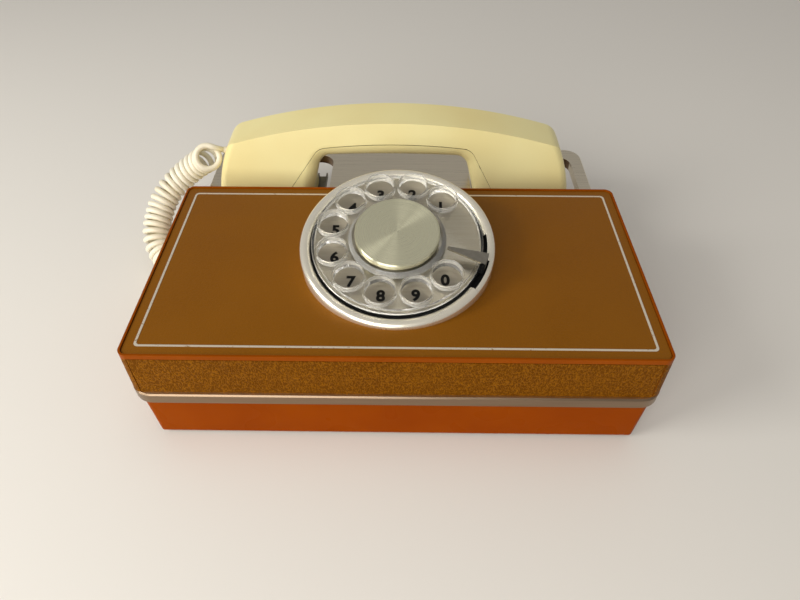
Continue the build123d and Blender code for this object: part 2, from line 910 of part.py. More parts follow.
def pulse_cam():
    """Three lobes on the pulse gear's shaft, which work the contacts."""
    outline = Circle(cam_radius - cam_lobe)
    for angle in (60, 180, 300):
        outline += Pos(*polar(cam_radius - cam_lobe, angle)) * Circle(cam_lobe)
    outline -= Circle(pinion_shaft_radius + slip_gap)
    cam = extrude(Pos(0, 0, cam_low()) * outline, cam_thickness)
    return in_dial(Pos(*pulse_spot()) * cam)


def governor():
    """The pinion, shaft and two weights that spin in the brake cup."""
    turn = governor_angle + 180 + 180 / governor_teeth
    train_high = train_gear_low + gear_thickness
    bore = pinion_shaft_radius / 2
    rotor = gear(governor_teeth, governor_module, train_gear_low, train_high, bore, turn)
    low = bridge_top - bridge_thickness
    rotor += upright(pinion_shaft_radius, low, mount_low + mount_thickness / 2 - running_gap)
    span = (works_top + running_gap, mount_low - running_gap)
    half = governor_arm - governor_weight / 2
    rotor += block((-half, half), (-pinion_shaft_radius, pinion_shaft_radius), (span[0], sum(span) / 2))
    weight = block((-governor_weight / 2, governor_weight / 2), (-governor_weight, governor_weight), span)
    for side in (-1, 1):
        rotor += Pos(side * half, 0, 0) * weight
    return in_dial(Pos(*governor_spot()) * rotor)


def return_spring():
    """A flat spiral in the barrel under the mount."""
    arcs = []
    near = -spring_inner_radius
    for half_turn in range(2 * spring_turns):
        side = 1 if half_turn % 2 == 0 else -1
        far = side * (abs(near) + spring_pitch / 2)
        middle = ((near + far) / 2, side * (abs(near) + spring_pitch / 4))
        arcs.append(ThreePointArc((near, 0), middle, (far, 0)))
        near = far
    strip = trace(arcs, spring_strip)
    return in_dial(extrude(Pos(0, 0, works_top + running_gap) * strip, spring_height))


def dial_bridge():
    """The plate under the works, which carries the lower ends of the shafts."""
    low = bridge_top - bridge_thickness
    plate = Circle(bridge_radius)
    plate -= Circle(dial_shaft_radius + slip_gap)
    for spot in (pulse_spot(), governor_spot()):
        plate -= Pos(*spot) * Circle(pinion_shaft_radius + slip_gap)
    for spot in bridge_spots():
        plate -= Pos(*spot) * Circle(dial_screw_radius + running_gap)
    return in_dial(extrude(Pos(0, 0, low) * plate, bridge_thickness))


def pulse_contacts():
    """Two leaf contacts on a block beside the cam, seated on the bridge."""
    x, y = pulse_spot()
    start = x + cam_radius + running_gap
    width = 2 * contact_strip + contact_spacing
    leaf_low = cam_low()
    tall = cam_thickness
    foot = y + cam_radius + contact_reach
    sides = (start - contact_strip, start + width + contact_strip)
    stack = block(sides, (foot, foot + contact_foot), (bridge_top, leaf_low + tall))
    for offset_x in (0, contact_strip + contact_spacing):
        leaf_x = (start + offset_x, start + offset_x + contact_strip)
        stack += block(leaf_x, (y - contact_reach, foot), (leaf_low, leaf_low + tall))
    return in_dial(stack)


def stop_ring():
    """The ring under the wheel's rim that carries the finger stop."""
    inner = platform_radius + running_gap
    low = mount_top + slip_gap
    ring = tube(bezel_inner_radius - running_gap, inner, low, low + stop_ring_thickness)
    return in_dial(ring)


def finger_stop():
    """The blade over the wheel, and the stem that holds it to its ring through the bezel's slot."""
    low = mount_top + slip_gap + stop_ring_thickness
    high = collar_top + running_gap + stop_thickness
    half = degrees(stop_root_width / 2 / stop_root_radius)
    first, last = stop_angle - half, stop_angle + half
    stem_inner = stop_root_radius - stop_stem
    tab = slot_sector(plate_radius + 2 * running_gap, stop_root_radius, first, last, low, low + stop_thickness)
    stem = slot_sector(stem_inner, stop_root_radius, first, last, low, high)
    root = stem_inner + stop_stem / 2
    outline = Polygon(
        (stop_tip_radius, -stop_tip_width / 2), (root, -stop_root_width / 2),
        (root, stop_root_width / 2), (stop_tip_radius, stop_tip_width / 2), align=None,
    )
    blade = extrude(Pos(0, 0, high - stop_thickness) * Rot(0, 0, stop_angle) * outline, stop_thickness)
    return in_dial(tab + stem + blade)


def chassis_plate():
    wide = box_width - 2 * chassis_margin
    deep = box_depth - 2 * chassis_margin
    return extrude(Plane((0, box_y, chassis_z)) * RectangleRounded(wide, deep, box_corner), chassis_thickness)


def gong_spots():
    """The middles of the two gongs."""
    return [(ringer_x, ringer_y + side * gong_spacing / 2) for side in (-1, 1)]


def gong(spot):
    """One bell of the ringer, with a flat crown and a hole for its post."""
    crown = gong_radius / 2
    inner = gong_radius - gong_thickness
    drop = gong_height - gong_thickness
    bulge = (gong_radius * 0.88, gong_height * 0.75)
    inner_bulge = (bulge[0] - gong_thickness * 0.7, bulge[1] - gong_thickness * 0.7)
    bore = gong_post_radius + slip_gap
    profile = faced([
        Polyline((bore, gong_height), (crown, gong_height)),
        ThreePointArc((crown, gong_height), bulge, (gong_radius, 0)),
        Line((gong_radius, 0), (inner, 0)),
        ThreePointArc((inner, 0), inner_bulge, (crown - gong_thickness / 2, drop)),
        Polyline((crown - gong_thickness / 2, drop), (bore, drop), (bore, gong_height)),
    ])
    return Pos(spot[0], spot[1], deck_z + gong_lift) * revolve(Plane.XZ * profile, Axis.Z)


def gong_posts():
    posts = Part()
    under_crown = deck_z + gong_lift + gong_height - gong_thickness
    for spot in gong_spots():
        posts += upright(2 * gong_post_radius, deck_z, under_crown, spot)
        posts += upright(gong_post_radius, under_crown, under_crown + gong_thickness + slip_gap, spot)
        posts += upright(2 * gong_post_radius, under_crown + gong_thickness + slip_gap,
                         under_crown + 2 * gong_thickness, spot)
    return posts


def clapper_z():
    """The height of the clapper's rod, just above the gongs' rims."""
    return deck_z + gong_lift + clapper_ball


def clapper_axis():
    """Where the clapper's pin stands."""
    return ringer_x + clapper_length, ringer_y


def coil_x():
    """The middle of the ringer's coil."""
    return clapper_axis()[0] + clapper_hub + coil_radius + 3 * running_gap + chassis_thickness


def ringer_frame():
    """The iron yoke that holds the coil between two cheeks, and the clapper's pin."""
    x, y = clapper_axis()
    far = coil_x() + coil_radius
    half = coil_length / 2
    base = block((x - clapper_hub, far), (y - half - wall, y + half + wall), (deck_z, deck_z + wall / 2))
    yoke = base + upright(clapper_pin, deck_z, clapper_z() + clapper_hub, (x, y))
    for side in (-1, 1):
        near_y = y + side * (half + running_gap)
        far_y = y + side * (half + wall)
        span = (min(near_y, far_y), max(near_y, far_y))
        cheek = block((coil_x() - core_radius, far), span, (deck_z, coil_z() + coil_radius / 2))
        yoke += cheek - lengthways(core_radius + slip_gap, span[0], span[1], coil_x(), coil_z())
    return yoke


def coil_z():
    """The height of the coil's middle, clear of the yoke's base."""
    return deck_z + wall / 2 + coil_radius + running_gap


def ringer_coil():
    y = ringer_y
    half = coil_length / 2
    coil = lengthways(coil_radius, y - half, y + half, coil_x(), coil_z())
    return coil - lengthways(core_radius + slip_gap, y - half, y + half, coil_x(), coil_z())


def ringer_core():
    half = coil_length / 2 + wall
    return lengthways(core_radius, ringer_y - half, ringer_y + half, coil_x(), coil_z())


def clapper():
    """The armature on its pin, with a rod that reaches between the gongs and a round striker at its end."""
    x, y = clapper_axis()
    low = deck_z + wall / 2 + slip_gap
    high = clapper_z() + clapper_hub / 2
    hub = upright(clapper_hub, low, high, (x, y))
    hub += block((x - clapper_pin, x + clapper_hub + running_gap), (y - coil_length / 3, y + coil_length / 3),
                 (clapper_z() - clapper_rod, high))
    hub += sideways(clapper_rod, ringer_x, x, y, clapper_z())
    striker = sideways(clapper_ball, ringer_x - clapper_ball, ringer_x + clapper_ball, y, clapper_z())
    hub += fillet(striker.edges(), striker_round)
    return hub - upright(clapper_pin + slip_gap, low, high, (x, y))


def network_block():
    """The potted speech network, with a chamfered top."""
    y = box_y - box_depth / 2 + chassis_margin + network_width / 2 + wall
    body = block((network_x - network_length / 2, network_x + network_length / 2),
                 (y - network_width / 2, y + network_width / 2), (deck_z, deck_z + network_height))
    return chamfer(body.faces().sort_by(Axis.Z)[-1].edges(), foot_height)


def network_terminals():
    """A row of screw terminals along the top of the network."""
    y = box_y - box_depth / 2 + chassis_margin + network_width / 2 + wall
    low = deck_z + network_height
    studs = Part()
    for i in range(terminal_count):
        x = network_x + (i - (terminal_count - 1) / 2) * network_length / (terminal_count + 1)
        for side in (-1, 1):
            studs += upright(terminal_radius, low, low + terminal_radius, (x, y + side * network_width / 4))
    return studs


def capacitor():
    """A round can lying behind the network, and the saddle that holds it to the chassis."""
    y = box_y + box_depth / 2 - chassis_margin - capacitor_radius - wall
    half = capacitor_length / 2
    z = deck_z + wall / 2 + capacitor_radius
    can = sideways(capacitor_radius, network_x - half, network_x + half, y, z)
    reach = capacitor_radius + wall / 2
    saddle = block((network_x - wall, network_x + wall), (y - reach, y + reach), (deck_z, z))
    return can + (saddle - sideways(capacitor_radius - wall / 2, network_x - half, network_x + half, y, z))


def terminal_y():
    """The front edge of the line terminals' strip."""
    return box_y - (terminal_count * terminal_pitch) / 2


def terminal_strip():
    """A ridged strip for the line and ringer leads, with a wall between neighbours."""
    wide = (network_x - network_length / 2 - 4 * terminal_pitch / 2, network_x - network_length / 2 - wall)
    long = terminal_count * terminal_pitch
    start = terminal_y()
    strip = block(wide, (start, start + long), (deck_z, deck_z + wall))
    for i in range(terminal_count + 1):
        y = start + i * terminal_pitch
        near = max(start, y - wall / 4)
        strip += block(wide, (near, min(start + long, y + wall / 4)), (deck_z, deck_z + 2.4 * wall))
    return strip


def terminal_screws():
    x = network_x - network_length / 2 - terminal_pitch - wall / 2
    screws = Part()
    for i in range(terminal_count):
        y = terminal_y() + (i + 0.5) * terminal_pitch
        screws += upright(terminal_radius, deck_z + wall, deck_z + wall + terminal_radius, (x, y))
    return screws


def hook_lever():
    """A channel of sheet metal, open at the top, that the handset presses down."""
    half = lever_width / 2
    span = (lever_y - lever_tail, lever_y + lever_reach)
    lever = block((lever_x - half, lever_x + half), span, (lever_low, lever_top))
    inner = half - lever_sheet
    lever -= block((lever_x - inner, lever_x + inner), span, (lever_low + lever_sheet, lever_top))
    return lever - sideways(lever_pin_radius + slip_gap, lever_x - half, lever_x + half, lever_y, lever_pin_z)


def cheek_x(side):
    """The inner face of one of the bracket's cheeks."""
    return lever_x + side * (lever_width / 2 + running_gap)


def hook_bracket():
    """Two cheeks on the tray's floor, on both sides of the lever."""
    foot = (lever_y - lever_tail, lever_y + lever_flange / 2)
    low = floor_z
    outer = lever_width / 2 + running_gap + cheek_thickness
    bracket = block((lever_x - outer, lever_x + outer), foot, (low, low + cheek_thickness))
    for side in (-1, 1):
        pair = sorted((cheek_x(side), cheek_x(side) + side * cheek_thickness))
        cheek = block(pair, foot, (low, lever_top))
        hole = sideways(lever_pin_radius + slip_gap, pair[0], pair[1], lever_y, lever_pin_z)
        bracket += cheek - hole
    return bracket


def lever_pin():
    reach = lever_width / 2 + running_gap + cheek_thickness
    return sideways(lever_pin_radius, lever_x - reach, lever_x + reach, lever_y, lever_pin_z)


def hook_contacts():
    """The pile of contact springs under the lever's tail, on a block that stands on the floor."""
    half = lever_width / 2
    far = lever_y - lever_tail - running_gap
    near = far - contact_block
    pile = block((lever_x - half, lever_x + half), (near, far), (floor_z, lever_low))
    for i in range(contact_leaves):
        z = lever_low - (i + 1) * contact_spacing
        pile += block((lever_x - half + lever_sheet, lever_x + half - lever_sheet),
                      (near, far + lever_tail / 2), (z, z + contact_strip))
    return pile


def inlet(hole):
    """A rubber grommet along Z: a flange outside the wall and a neck through it."""
    grommet = upright(inlet_flange_radius, 0, inlet_flange)
    grommet += upright(inlet_radius - slip_gap, -wall - inlet_flange, 0)
    grommet += upright(inlet_radius - slip_gap, -wall - 2 * inlet_flange, -wall - inlet_flange)
    return grommet - upright(hole, -wall - 2 * inlet_flange, inlet_flange) if hole else grommet


def side_wall_x():
    """The outside of the base's left wall at the height of the cord inlet."""
    return -box_width / 2 - base_margin(inlet_height + inlet_flange_radius)


def cord_inlet():
    return Pos(side_wall_x(), box_y + cord_inlet_y, inlet_height) * Rot(0, -90, 0) * inlet(0)


def line_inlet():
    y = box_back + base_margin(inlet_height + inlet_flange_radius)
    return Pos(line_inlet_x, y, inlet_height) * Rot(-90, 0, 0) * inlet(line_hole_radius)


def biarc(start, start_way, end, end_way):
    """Two arcs that join two points and keep the direction at both."""
    chord = end - start
    ways = start_way + end_way
    bend = 2 * (1 - start_way.dot(end_way))
    along = chord.dot(ways)
    if bend < 1e-6:
        reach = chord.dot(chord) / (4 * chord.dot(end_way))
    else:
        reach = (sqrt(along**2 + bend * chord.dot(chord)) - along) / bend
    first = start + start_way * reach
    last = end - end_way * reach
    joint = (first + last) * 0.5
    middle_way = (last - first).normalized()
    return [
        Edge.make_tangent_arc(start, start_way, joint),
        Edge.make_tangent_arc(joint, middle_way, end),
    ]


def curl_frames(guide, steps):
    """Points, directions and steady side vectors along the middle line of the curls."""
    frames = []
    side = Vector(0, 0, 1)
    for i in range(steps + 1):
        place = guide.position_at(i / steps)
        way = guide.tangent_at(i / steps)
        side = (side - way * side.dot(way)).normalized()
        frames.append((place, side, way.cross(side)))
    return frames


def cord_path():
    """The middle of the wire: out of the boot, round all the curls and into the inlet."""
    fine = 8
    quarters = round(4 * curl_count)
    last = fine * quarters
    route = [(x - box_width / 2, y, z) for x, y, z in cord_route]
    frames = curl_frames(Spline(*route), last)

    def at(i):
        place, side, other = frames[i]
        turn = -i * pi / 2 / fine
        return place + side * (curl_radius * cos(turn)) + other * (curl_radius * sin(turn))

    stops = range(0, last + 1, fine)
    points = [at(i) for i in stops]
    ways = [(at(min(i + 1, last)) - at(max(i - 1, 0))).normalized() for i in stops]
    exit_point = in_handset(Pos(boot_face(), 0, boot_height)).position
    outward = Vector(-1, 0, 0)
    clear_of_boot = exit_point + outward * cord_wire
    inlet_point = Vector(side_wall_x() - inlet_flange, box_y + cord_inlet_y, inlet_height)
    clear_of_inlet = inlet_point + outward * cord_wire
    points = [clear_of_boot] + points + [clear_of_inlet]
    ways = [outward] + ways + [-outward]
    edges = [Edge.make_line(exit_point, clear_of_boot)]
    for i in range(len(points) - 1):
        edges += biarc(points[i], ways[i], points[i + 1], ways[i + 1])
    edges.append(Edge.make_line(clear_of_inlet, inlet_point))
    return edges


def least_gap(edges):
    """The least distance between two stretches of the wire that aren't neighbours."""
    line = [edge.position_at(t / 5) for edge in edges for t in range(5)]
    run = [0.0]
    for i in range(1, len(line)):
        run.append(run[-1] + (line[i] - line[i - 1]).length)
    spots = [(p.X, p.Y, p.Z) for p in line]
    least = 1e9
    for i, a in enumerate(spots):
        for j in range(i + 1, len(spots)):
            if run[j] - run[i] < 4 * cord_wire:
                continue
            b = spots[j]
            if abs(a[0] - b[0]) < least and abs(a[1] - b[1]) < least:
                least = min(least, hypot(a[0] - b[0], a[1] - b[1], a[2] - b[2]))
    return least - cord_wire


def handset_cord():
    edges = cord_path()
    path = Wire(edges)
    start = Plane(origin=path.position_at(0), z_dir=path.tangent_at(0))
    cord = sweep(start * Circle(cord_wire / 2), path=path)
    round_edges = [e for e in edges if e.geom_type == GeomType.CIRCLE]
    print("cord length", round(path.length), "least gap", round(least_gap(edges), 2))
    print("tightest curl radius", round(min(e.radius for e in round_edges), 2))
    print("volume against section times length", round(cord.volume / (path.length * pi * cord_wire**2 / 4), 3))
    return cord


handset_back, handset_face = handset_shells()
pieces = {
    "base_tray": base_tray(),
    "rubber_feet": rubber_feet(),
    "rest_pads": rest_pads(),
    "cradle_frame": cradle_frame(),
    "top_casing": top_casing(),
    "top_panel": top_panel(),
    "front_panel": front_panel(),
    "pinstripe": pinstripe(),
    "casing_screws": casing_screws(),
    "dial_bezel": dial_bezel(),
    "dial_mount": dial_mount(),
    "dial_screws": dial_screws(),
    "number_plate": number_plate(),
    "finger_wheel": finger_wheel(),
    "centre_disc": centre_disc(),
    "wheel_nut": wheel_nut(),
    "dial_shaft": dial_shaft(),
    "main_gear": main_gear(),
    "pulse_gear": pulse_gear(),
    "pulse_cam": pulse_cam(),
    "governor": governor(),
    "return_spring": return_spring(),
    "dial_bridge": dial_bridge(),
    "pulse_contacts": pulse_contacts(),
    "stop_ring": stop_ring(),
    "finger_stop": finger_stop(),
    "chassis_plate": chassis_plate(),
    "front_gong": gong(gong_spots()[0]),
    "rear_gong": gong(gong_spots()[1]),
    "gong_posts": gong_posts(),
    "ringer_frame": ringer_frame(),
    "ringer_coil": ringer_coil(),
    "ringer_core": ringer_core(),
    "clapper": clapper(),
    "network_block": network_block(),
    "network_terminals": network_terminals(),
    "capacitor": capacitor(),
    "terminal_strip": terminal_strip(),
    "terminal_screws": terminal_screws(),
    "hook_lever": hook_lever(),
    "hook_bracket": hook_bracket(),
    "lever_pin": lever_pin(),
    "hook_contacts": hook_contacts(),
    "cord_inlet": cord_inlet(),
    "line_inlet": line_inlet(),
    "handset_back": in_handset(handset_back),
    "handset_face": in_handset(handset_face),
    "handset_screws": in_handset(handset_screws()),
    "transmitter": in_handset(capsule(-1)),
    "receiver": in_handset(capsule(1)),
    "cord_boot": in_handset(cord_boot()),
    "handset_cord": handset_cord(),
}

os.makedirs("parts", exist_ok=True)
for name, piece in pieces.items():
    export_step(piece, f"parts/{name}.step")
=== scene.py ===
import math

import bmesh
import bpy
from mathutils import Matrix, Vector
from mathutils.bvhtree import BVHTree


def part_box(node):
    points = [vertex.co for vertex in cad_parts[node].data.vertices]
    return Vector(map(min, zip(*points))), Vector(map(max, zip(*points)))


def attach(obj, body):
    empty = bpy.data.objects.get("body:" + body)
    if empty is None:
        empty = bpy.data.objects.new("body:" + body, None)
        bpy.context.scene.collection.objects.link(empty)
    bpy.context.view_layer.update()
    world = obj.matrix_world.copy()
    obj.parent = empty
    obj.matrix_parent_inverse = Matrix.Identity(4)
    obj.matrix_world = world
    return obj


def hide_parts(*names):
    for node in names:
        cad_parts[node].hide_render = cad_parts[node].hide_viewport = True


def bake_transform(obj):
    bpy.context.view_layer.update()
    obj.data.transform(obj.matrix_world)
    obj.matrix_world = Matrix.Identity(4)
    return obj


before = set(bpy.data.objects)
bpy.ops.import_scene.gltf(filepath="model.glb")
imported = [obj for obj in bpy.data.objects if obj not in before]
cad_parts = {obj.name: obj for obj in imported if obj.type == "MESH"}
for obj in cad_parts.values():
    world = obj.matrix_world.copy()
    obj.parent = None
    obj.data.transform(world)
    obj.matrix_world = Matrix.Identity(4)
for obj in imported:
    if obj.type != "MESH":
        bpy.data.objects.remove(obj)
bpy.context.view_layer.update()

# The studio: a pale floor, a soft light to the left as from a window, and weaker, wider ones in front and
# above. The camera looks down at the box from in front, at the photograph's angle.
scene = bpy.context.scene
scene.view_settings.view_transform = "Standard"
camera_place = (0.0040, -0.2485, 0.2518)
camera_down = 45.99
camera_left = 0.75
camera_lens = 27.0
camera_near = 0.01
light_aim = Vector((0, 0, 0.05))
air_tint = (0.99, 0.96, 0.93, 1)
air_strength = 0.36
camera = bpy.data.objects.new("camera", bpy.data.cameras.new("camera"))
camera.location = camera_place
camera.rotation_euler = (math.radians(90 - camera_down), 0, math.radians(camera_left))
camera.data.lens = camera_lens
camera.data.clip_start = camera_near
scene.collection.objects.link(camera)
scene.camera = camera


def panel_light(name, place, size, power, tint, mirrored=True):
    """A square light that faces the box. Shiny pieces reflect it only if it is mirrored."""
    lamp = bpy.data.lights.new(name, "AREA")
    lamp.size = size
    lamp.energy = power
    lamp.color = tint
    holder = bpy.data.objects.new(name, lamp)
    holder.location = place
    holder.rotation_euler = (light_aim - Vector(place)).to_track_quat("-Z", "Y").to_euler()
    holder.visible_glossy = mirrored
    scene.collection.objects.link(holder)


panel_light("key_light", (-0.86, -0.36, 0.56), 0.45, 6.2, (1.0, 0.98, 0.94))
panel_light("front_light", (-0.30, -0.80, 0.42), 0.6, 5.0, (1.0, 0.97, 0.93))
panel_light("top_light", (0.10, 0.10, 1.30), 0.6, 1.4, (1.0, 0.98, 0.95), mirrored=False)
world = bpy.data.worlds.new("studio_air")
world.use_nodes = True
world.node_tree.nodes["Background"].inputs["Color"].default_value = air_tint
world.node_tree.nodes["Background"].inputs["Strength"].default_value = air_strength
scene.world = world


def paint(red, green, blue):
    """A colour as a screen shows it, 0 to 255, in the renderer's linear values."""
    parts = [value / 255 for value in (red, green, blue)]
    linear = [p / 12.92 if p <= 0.04045 else ((p + 0.055) / 1.055) ** 2.4 for p in parts]
    return (*linear, 1.0)


def shader_inputs(material):
    """The sockets of a material's main shader."""
    return material.node_tree.nodes["Principled BSDF"].inputs


def finish(name, colour, roughness, metallic=0.0, bend=1.5, gloss=(1, 1, 1, 1)):
    """A new material with one main shader. Its gloss grows with bend, which is how far it bends light."""
    material = bpy.data.materials.new(name)
    material.use_nodes = True
    sockets = shader_inputs(material)
    sockets["Base Color"].default_value = colour
    sockets["Roughness"].default_value = roughness
    sockets["Metallic"].default_value = metallic
    sockets["IOR"].default_value = bend
    sockets["Specular Tint"].default_value = gloss
    return material


floor_half = 3.0
floor_mesh = bpy.data.meshes.new("floor")
floor_corners = ((-1, -1), (1, -1), (1, 1), (-1, 1))
floor_mesh.from_pydata([(x * floor_half, y * floor_half, 0) for x, y in floor_corners], [], [(0, 1, 2, 3)])
floor_mesh.materials.append(finish("floor_paint", paint(226, 222, 214), 0.55))
floor = bpy.data.objects.new("floor", floor_mesh)
scene.collection.objects.link(floor)


# The base tray: one orange moulding with drafted walls, screw bosses and two arms that carry the handset.
# It stands on four black rubber feet, and felt pads are glued to the arms.
# Rubber grommets guard both cord holes.
hand_patch = 0.022
peel_size = 0.0007
same_spot = 1e-5


def place(tree, kind, settings=None, **inputs):
    """Adds a node to a tree, and sets or joins its inputs by name or by number, as in_0."""
    made = tree.nodes.new(kind)
    for key, value in (settings or {}).items():
        setattr(made, key, value)
    for key, value in inputs.items():
        socket = made.inputs[int(key[3:])] if key.startswith("in_") else made.inputs[key.replace("_", " ")]
        if isinstance(value, bpy.types.NodeSocket):
            tree.links.new(value, socket)
        else:
            socket.default_value = value
    return made


def add(material, kind, settings=None, **inputs):
    """Adds a shader node to a material."""
    return place(material.node_tree, "ShaderNode" + kind, settings, **inputs)


def join(material, source, socket):
    """Leads a node's output into the main shader."""
    material.node_tree.links.new(source, shader_inputs(material)[socket])


def speckle(material, size, stretch=(1, 1, 1), detail=3.0, uneven=0.0):
    """A cloudy pattern whose patches are about size metres wide, drawn out along an axis by stretch."""
    spot = add(material, "TexCoord").outputs["Object"]
    scaled = add(material, "Mapping", Vector=spot, Scale=[1 / (size * s) for s in stretch])
    cloud = add(material, "TexNoise", Vector=scaled.outputs[0], Scale=1.0, Detail=detail, Distortion=uneven)
    return cloud.outputs["Fac"]


def colours(material, source, *stops):
    """Colours along a pattern's values, each stop a value and a colour."""
    ramp = add(material, "ValToRGB", Fac=source)
    band = ramp.color_ramp
    while len(band.elements) < len(stops):
        band.elements.new(0.5)
    for element, (value, colour) in zip(band.elements, stops):
        element.position = value
        element.color = colour
    return ramp.outputs["Color"]


def between(material, source, low, high, start=0.3, end=0.7):
    """A number that goes from low to high as the pattern goes from start to end."""
    spread = add(material, "MapRange", Value=source, From_Min=start, From_Max=end, To_Min=low, To_Max=high)
    return spread.outputs[0]


def relief(material, source, depth, strength=1.0, under=None):
    """Small hills and hollows of a depth in metres, on top of other relief."""
    bump = add(material, "Bump", Height=source, Distance=depth, Strength=strength)
    if under is not None:
        material.node_tree.links.new(under, bump.inputs["Normal"])
    return bump.outputs[0]


def moulded(name, colour, shade, roughness, patch=0.03, peel=0.00001, bend=1.5, gloss=(1, 1, 1, 1)):
    """Moulded plastic: a colour that drifts to a shade, a faint orange peel, and dull patches from hands."""
    material = finish(name, colour, roughness, bend=bend, gloss=gloss)
    drift = speckle(material, patch, detail=2.0)
    join(material, colours(material, drift, (0.35, colour), (0.7, shade)), "Base Color")
    handled = speckle(material, hand_patch, detail=1.0)
    join(material, between(material, handled, roughness - 0.03, roughness + 0.06), "Roughness")
    skin = speckle(material, peel_size, detail=1.0)
    join(material, relief(material, skin, peel, 0.4), "Normal")
    return material


def as_mesh(holder):
    """The holder's final shape as a plain mesh, with its modifiers taken in."""
    bpy.context.view_layer.update()
    shaped = holder.evaluated_get(bpy.context.evaluated_depsgraph_get())
    return bpy.data.meshes.new_from_object(shaped)


def plain_object(name, mesh, material):
    """An object at the origin with smooth faces and one material."""
    mesh.materials.clear()
    mesh.materials.append(material)
    mesh.polygons.foreach_set("use_smooth", [True] * len(mesh.polygons))
    piece = bpy.data.objects.new(name, mesh)
    scene.collection.objects.link(piece)
    return piece


def edges_rounded(name, mesh, material, width, sharp=35.0, segments=3, flat=0.2):
    """An object from a mesh whose sharp edges are rounded off, with flat faces that stay flat."""
    work = bmesh.new()
    work.from_mesh(mesh)
    bmesh.ops.remove_doubles(work, verts=work.verts, dist=same_spot)
    bmesh.ops.dissolve_limit(work, angle_limit=math.radians(flat), verts=work.verts, edges=work.edges)
    edges = [e for e in work.edges if e.is_manifold and e.calc_face_angle(0) > math.radians(sharp)]
    bmesh.ops.bevel(
        work, geom=edges, offset=width, segments=segments, profile=0.5, affect="EDGES", clamp_overlap=True
    )
    work.to_mesh(mesh)
    work.free()
    piece = plain_object(name, mesh, material)
    mesh.set_sharp_from_angle(angle=math.radians(sharp))
    weighted = piece.modifiers.new("even_normals", "WEIGHTED_NORMAL")
    weighted.keep_sharp = True
    piece.data = as_mesh(piece)
    piece.modifiers.clear()
    return piece


def stands_for(piece, node, body="base"):
    """The piece hides a solid and moves as it does."""
    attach(piece, body)
    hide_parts(node)
    return piece


def softened(node, material, width, name, slot, body="base", sharp=35.0, segments=3, flat=0.2):
    """A copy of a solid with its sharp edges rounded off, which stands for the solid."""
    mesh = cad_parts[node].data.copy()
    return stands_for(edges_rounded(name, mesh, material, width, sharp, segments, flat), node, body)


def dress(material, *nodes):
    """Gives solids that stay as they are a material."""
    for node in nodes:
        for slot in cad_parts[node].material_slots:
            slot.material = material


orange_plastic = moulded(
    "orange_plastic", paint(142, 62, 0), paint(136, 57, 0), 0.28, bend=1.08, gloss=(1.0, 0.42, 0.0, 1)
)
black_rubber = moulded("black_rubber", paint(34, 33, 32), paint(46, 44, 42), 0.62, patch=0.008, peel=0.00003)
cream_rubber = moulded("cream_rubber", paint(228, 218, 190), paint(214, 202, 170), 0.45)
felt = finish("felt", paint(58, 54, 50), 0.95)
nap = speckle(felt, 0.0004, detail=4.0)
join(felt, colours(felt, nap, (0.3, paint(40, 37, 34)), (0.7, paint(82, 77, 70))), "Base Color")
join(felt, relief(felt, nap, 0.0002), "Normal")
softened("base_tray", orange_plastic, 0.0005, "base_shell", "orange_plastic")
softened("rubber_feet", black_rubber, 0.0006, "feet", "black_rubber")
softened("rest_pads", felt, 0.0004, "felt_pads", "black_rubber")
softened("cord_inlet", cream_rubber, 0.0004, "cord_grommet", "cream_rubber")
softened("line_inlet", black_rubber, 0.0004, "line_grommet", "black_rubber")


# The works on their steel chassis: two brass gongs with a clapper and a wound coil, the potted speech
# network, a capacitor in its can, and brass screws for the leads.
# Four slotted screws clamp the box from below.
head_sides = 40
shank_sides = 24
screw_edge = 0.00012
slot_seed = 7


def metal(name, colour, shade, roughness, grain=(1, 1, 1), size=0.002, depth=0.000003, metallic=1.0):
    """Bare metal with fine marks, drawn out along grain where it was brushed or rolled."""
    material = finish(name, colour, roughness, metallic)
    marks = speckle(material, size, grain, detail=4.0)
    join(material, colours(material, marks, (0.3, shade), (0.7, colour)), "Base Color")
    join(material, between(material, marks, roughness - 0.04, roughness + 0.08), "Roughness")
    join(material, relief(material, marks, depth, 0.4), "Normal")
    return material


def growing_tree(name, *sizes):
    """A new geometry tree that takes points, named sizes and a material. It gives back its ends."""
    tree = bpy.data.node_groups.new(name, "GeometryNodeTree")
    tree.interface.new_socket("Geometry", in_out="INPUT", socket_type="NodeSocketGeometry")
    for size in sizes:
        tree.interface.new_socket(size, in_out="INPUT", socket_type="NodeSocketFloat")
    tree.interface.new_socket("Material", in_out="INPUT", socket_type="NodeSocketMaterial")
    tree.interface.new_socket("Geometry", in_out="OUTPUT", socket_type="NodeSocketGeometry")
    given = tree.nodes.new("NodeGroupInput").outputs
    return tree, given, tree.nodes.new("NodeGroupOutput")


def times(tree, first, second):
    """The product of two numbers in a tree."""
    return place(tree, "ShaderNodeMath", {"operation": "MULTIPLY"}, in_0=first, in_1=second).outputs[0]


def raised(tree, shape, height):
    """The shape moved up by a height."""
    shift = place(tree, "ShaderNodeCombineXYZ", Z=height).outputs[0]
    return place(tree, "GeometryNodeTransform", Geometry=shape, Translation=shift).outputs[0]


def rod(tree, radius, length, sides):
    """An upright cylinder round the middle."""
    made = place(tree, "GeometryNodeMeshCylinder", Vertices=sides, Radius=radius, Depth=length)
    return made.outputs["Mesh"]


def cut(tree, shape, tool):
    """The shape with another one taken out of it."""
    made = place(tree, "GeometryNodeMeshBoolean", {"operation": "DIFFERENCE"}, in_0=shape, in_1=tool)
    return made.outputs["Mesh"]


def gathered(tree, *shapes):
    """Several shapes as one."""
    made = tree.nodes.new("GeometryNodeJoinGeometry")
    for shape in shapes:
        tree.links.new(shape, made.inputs[0])
    return made.outputs[0]


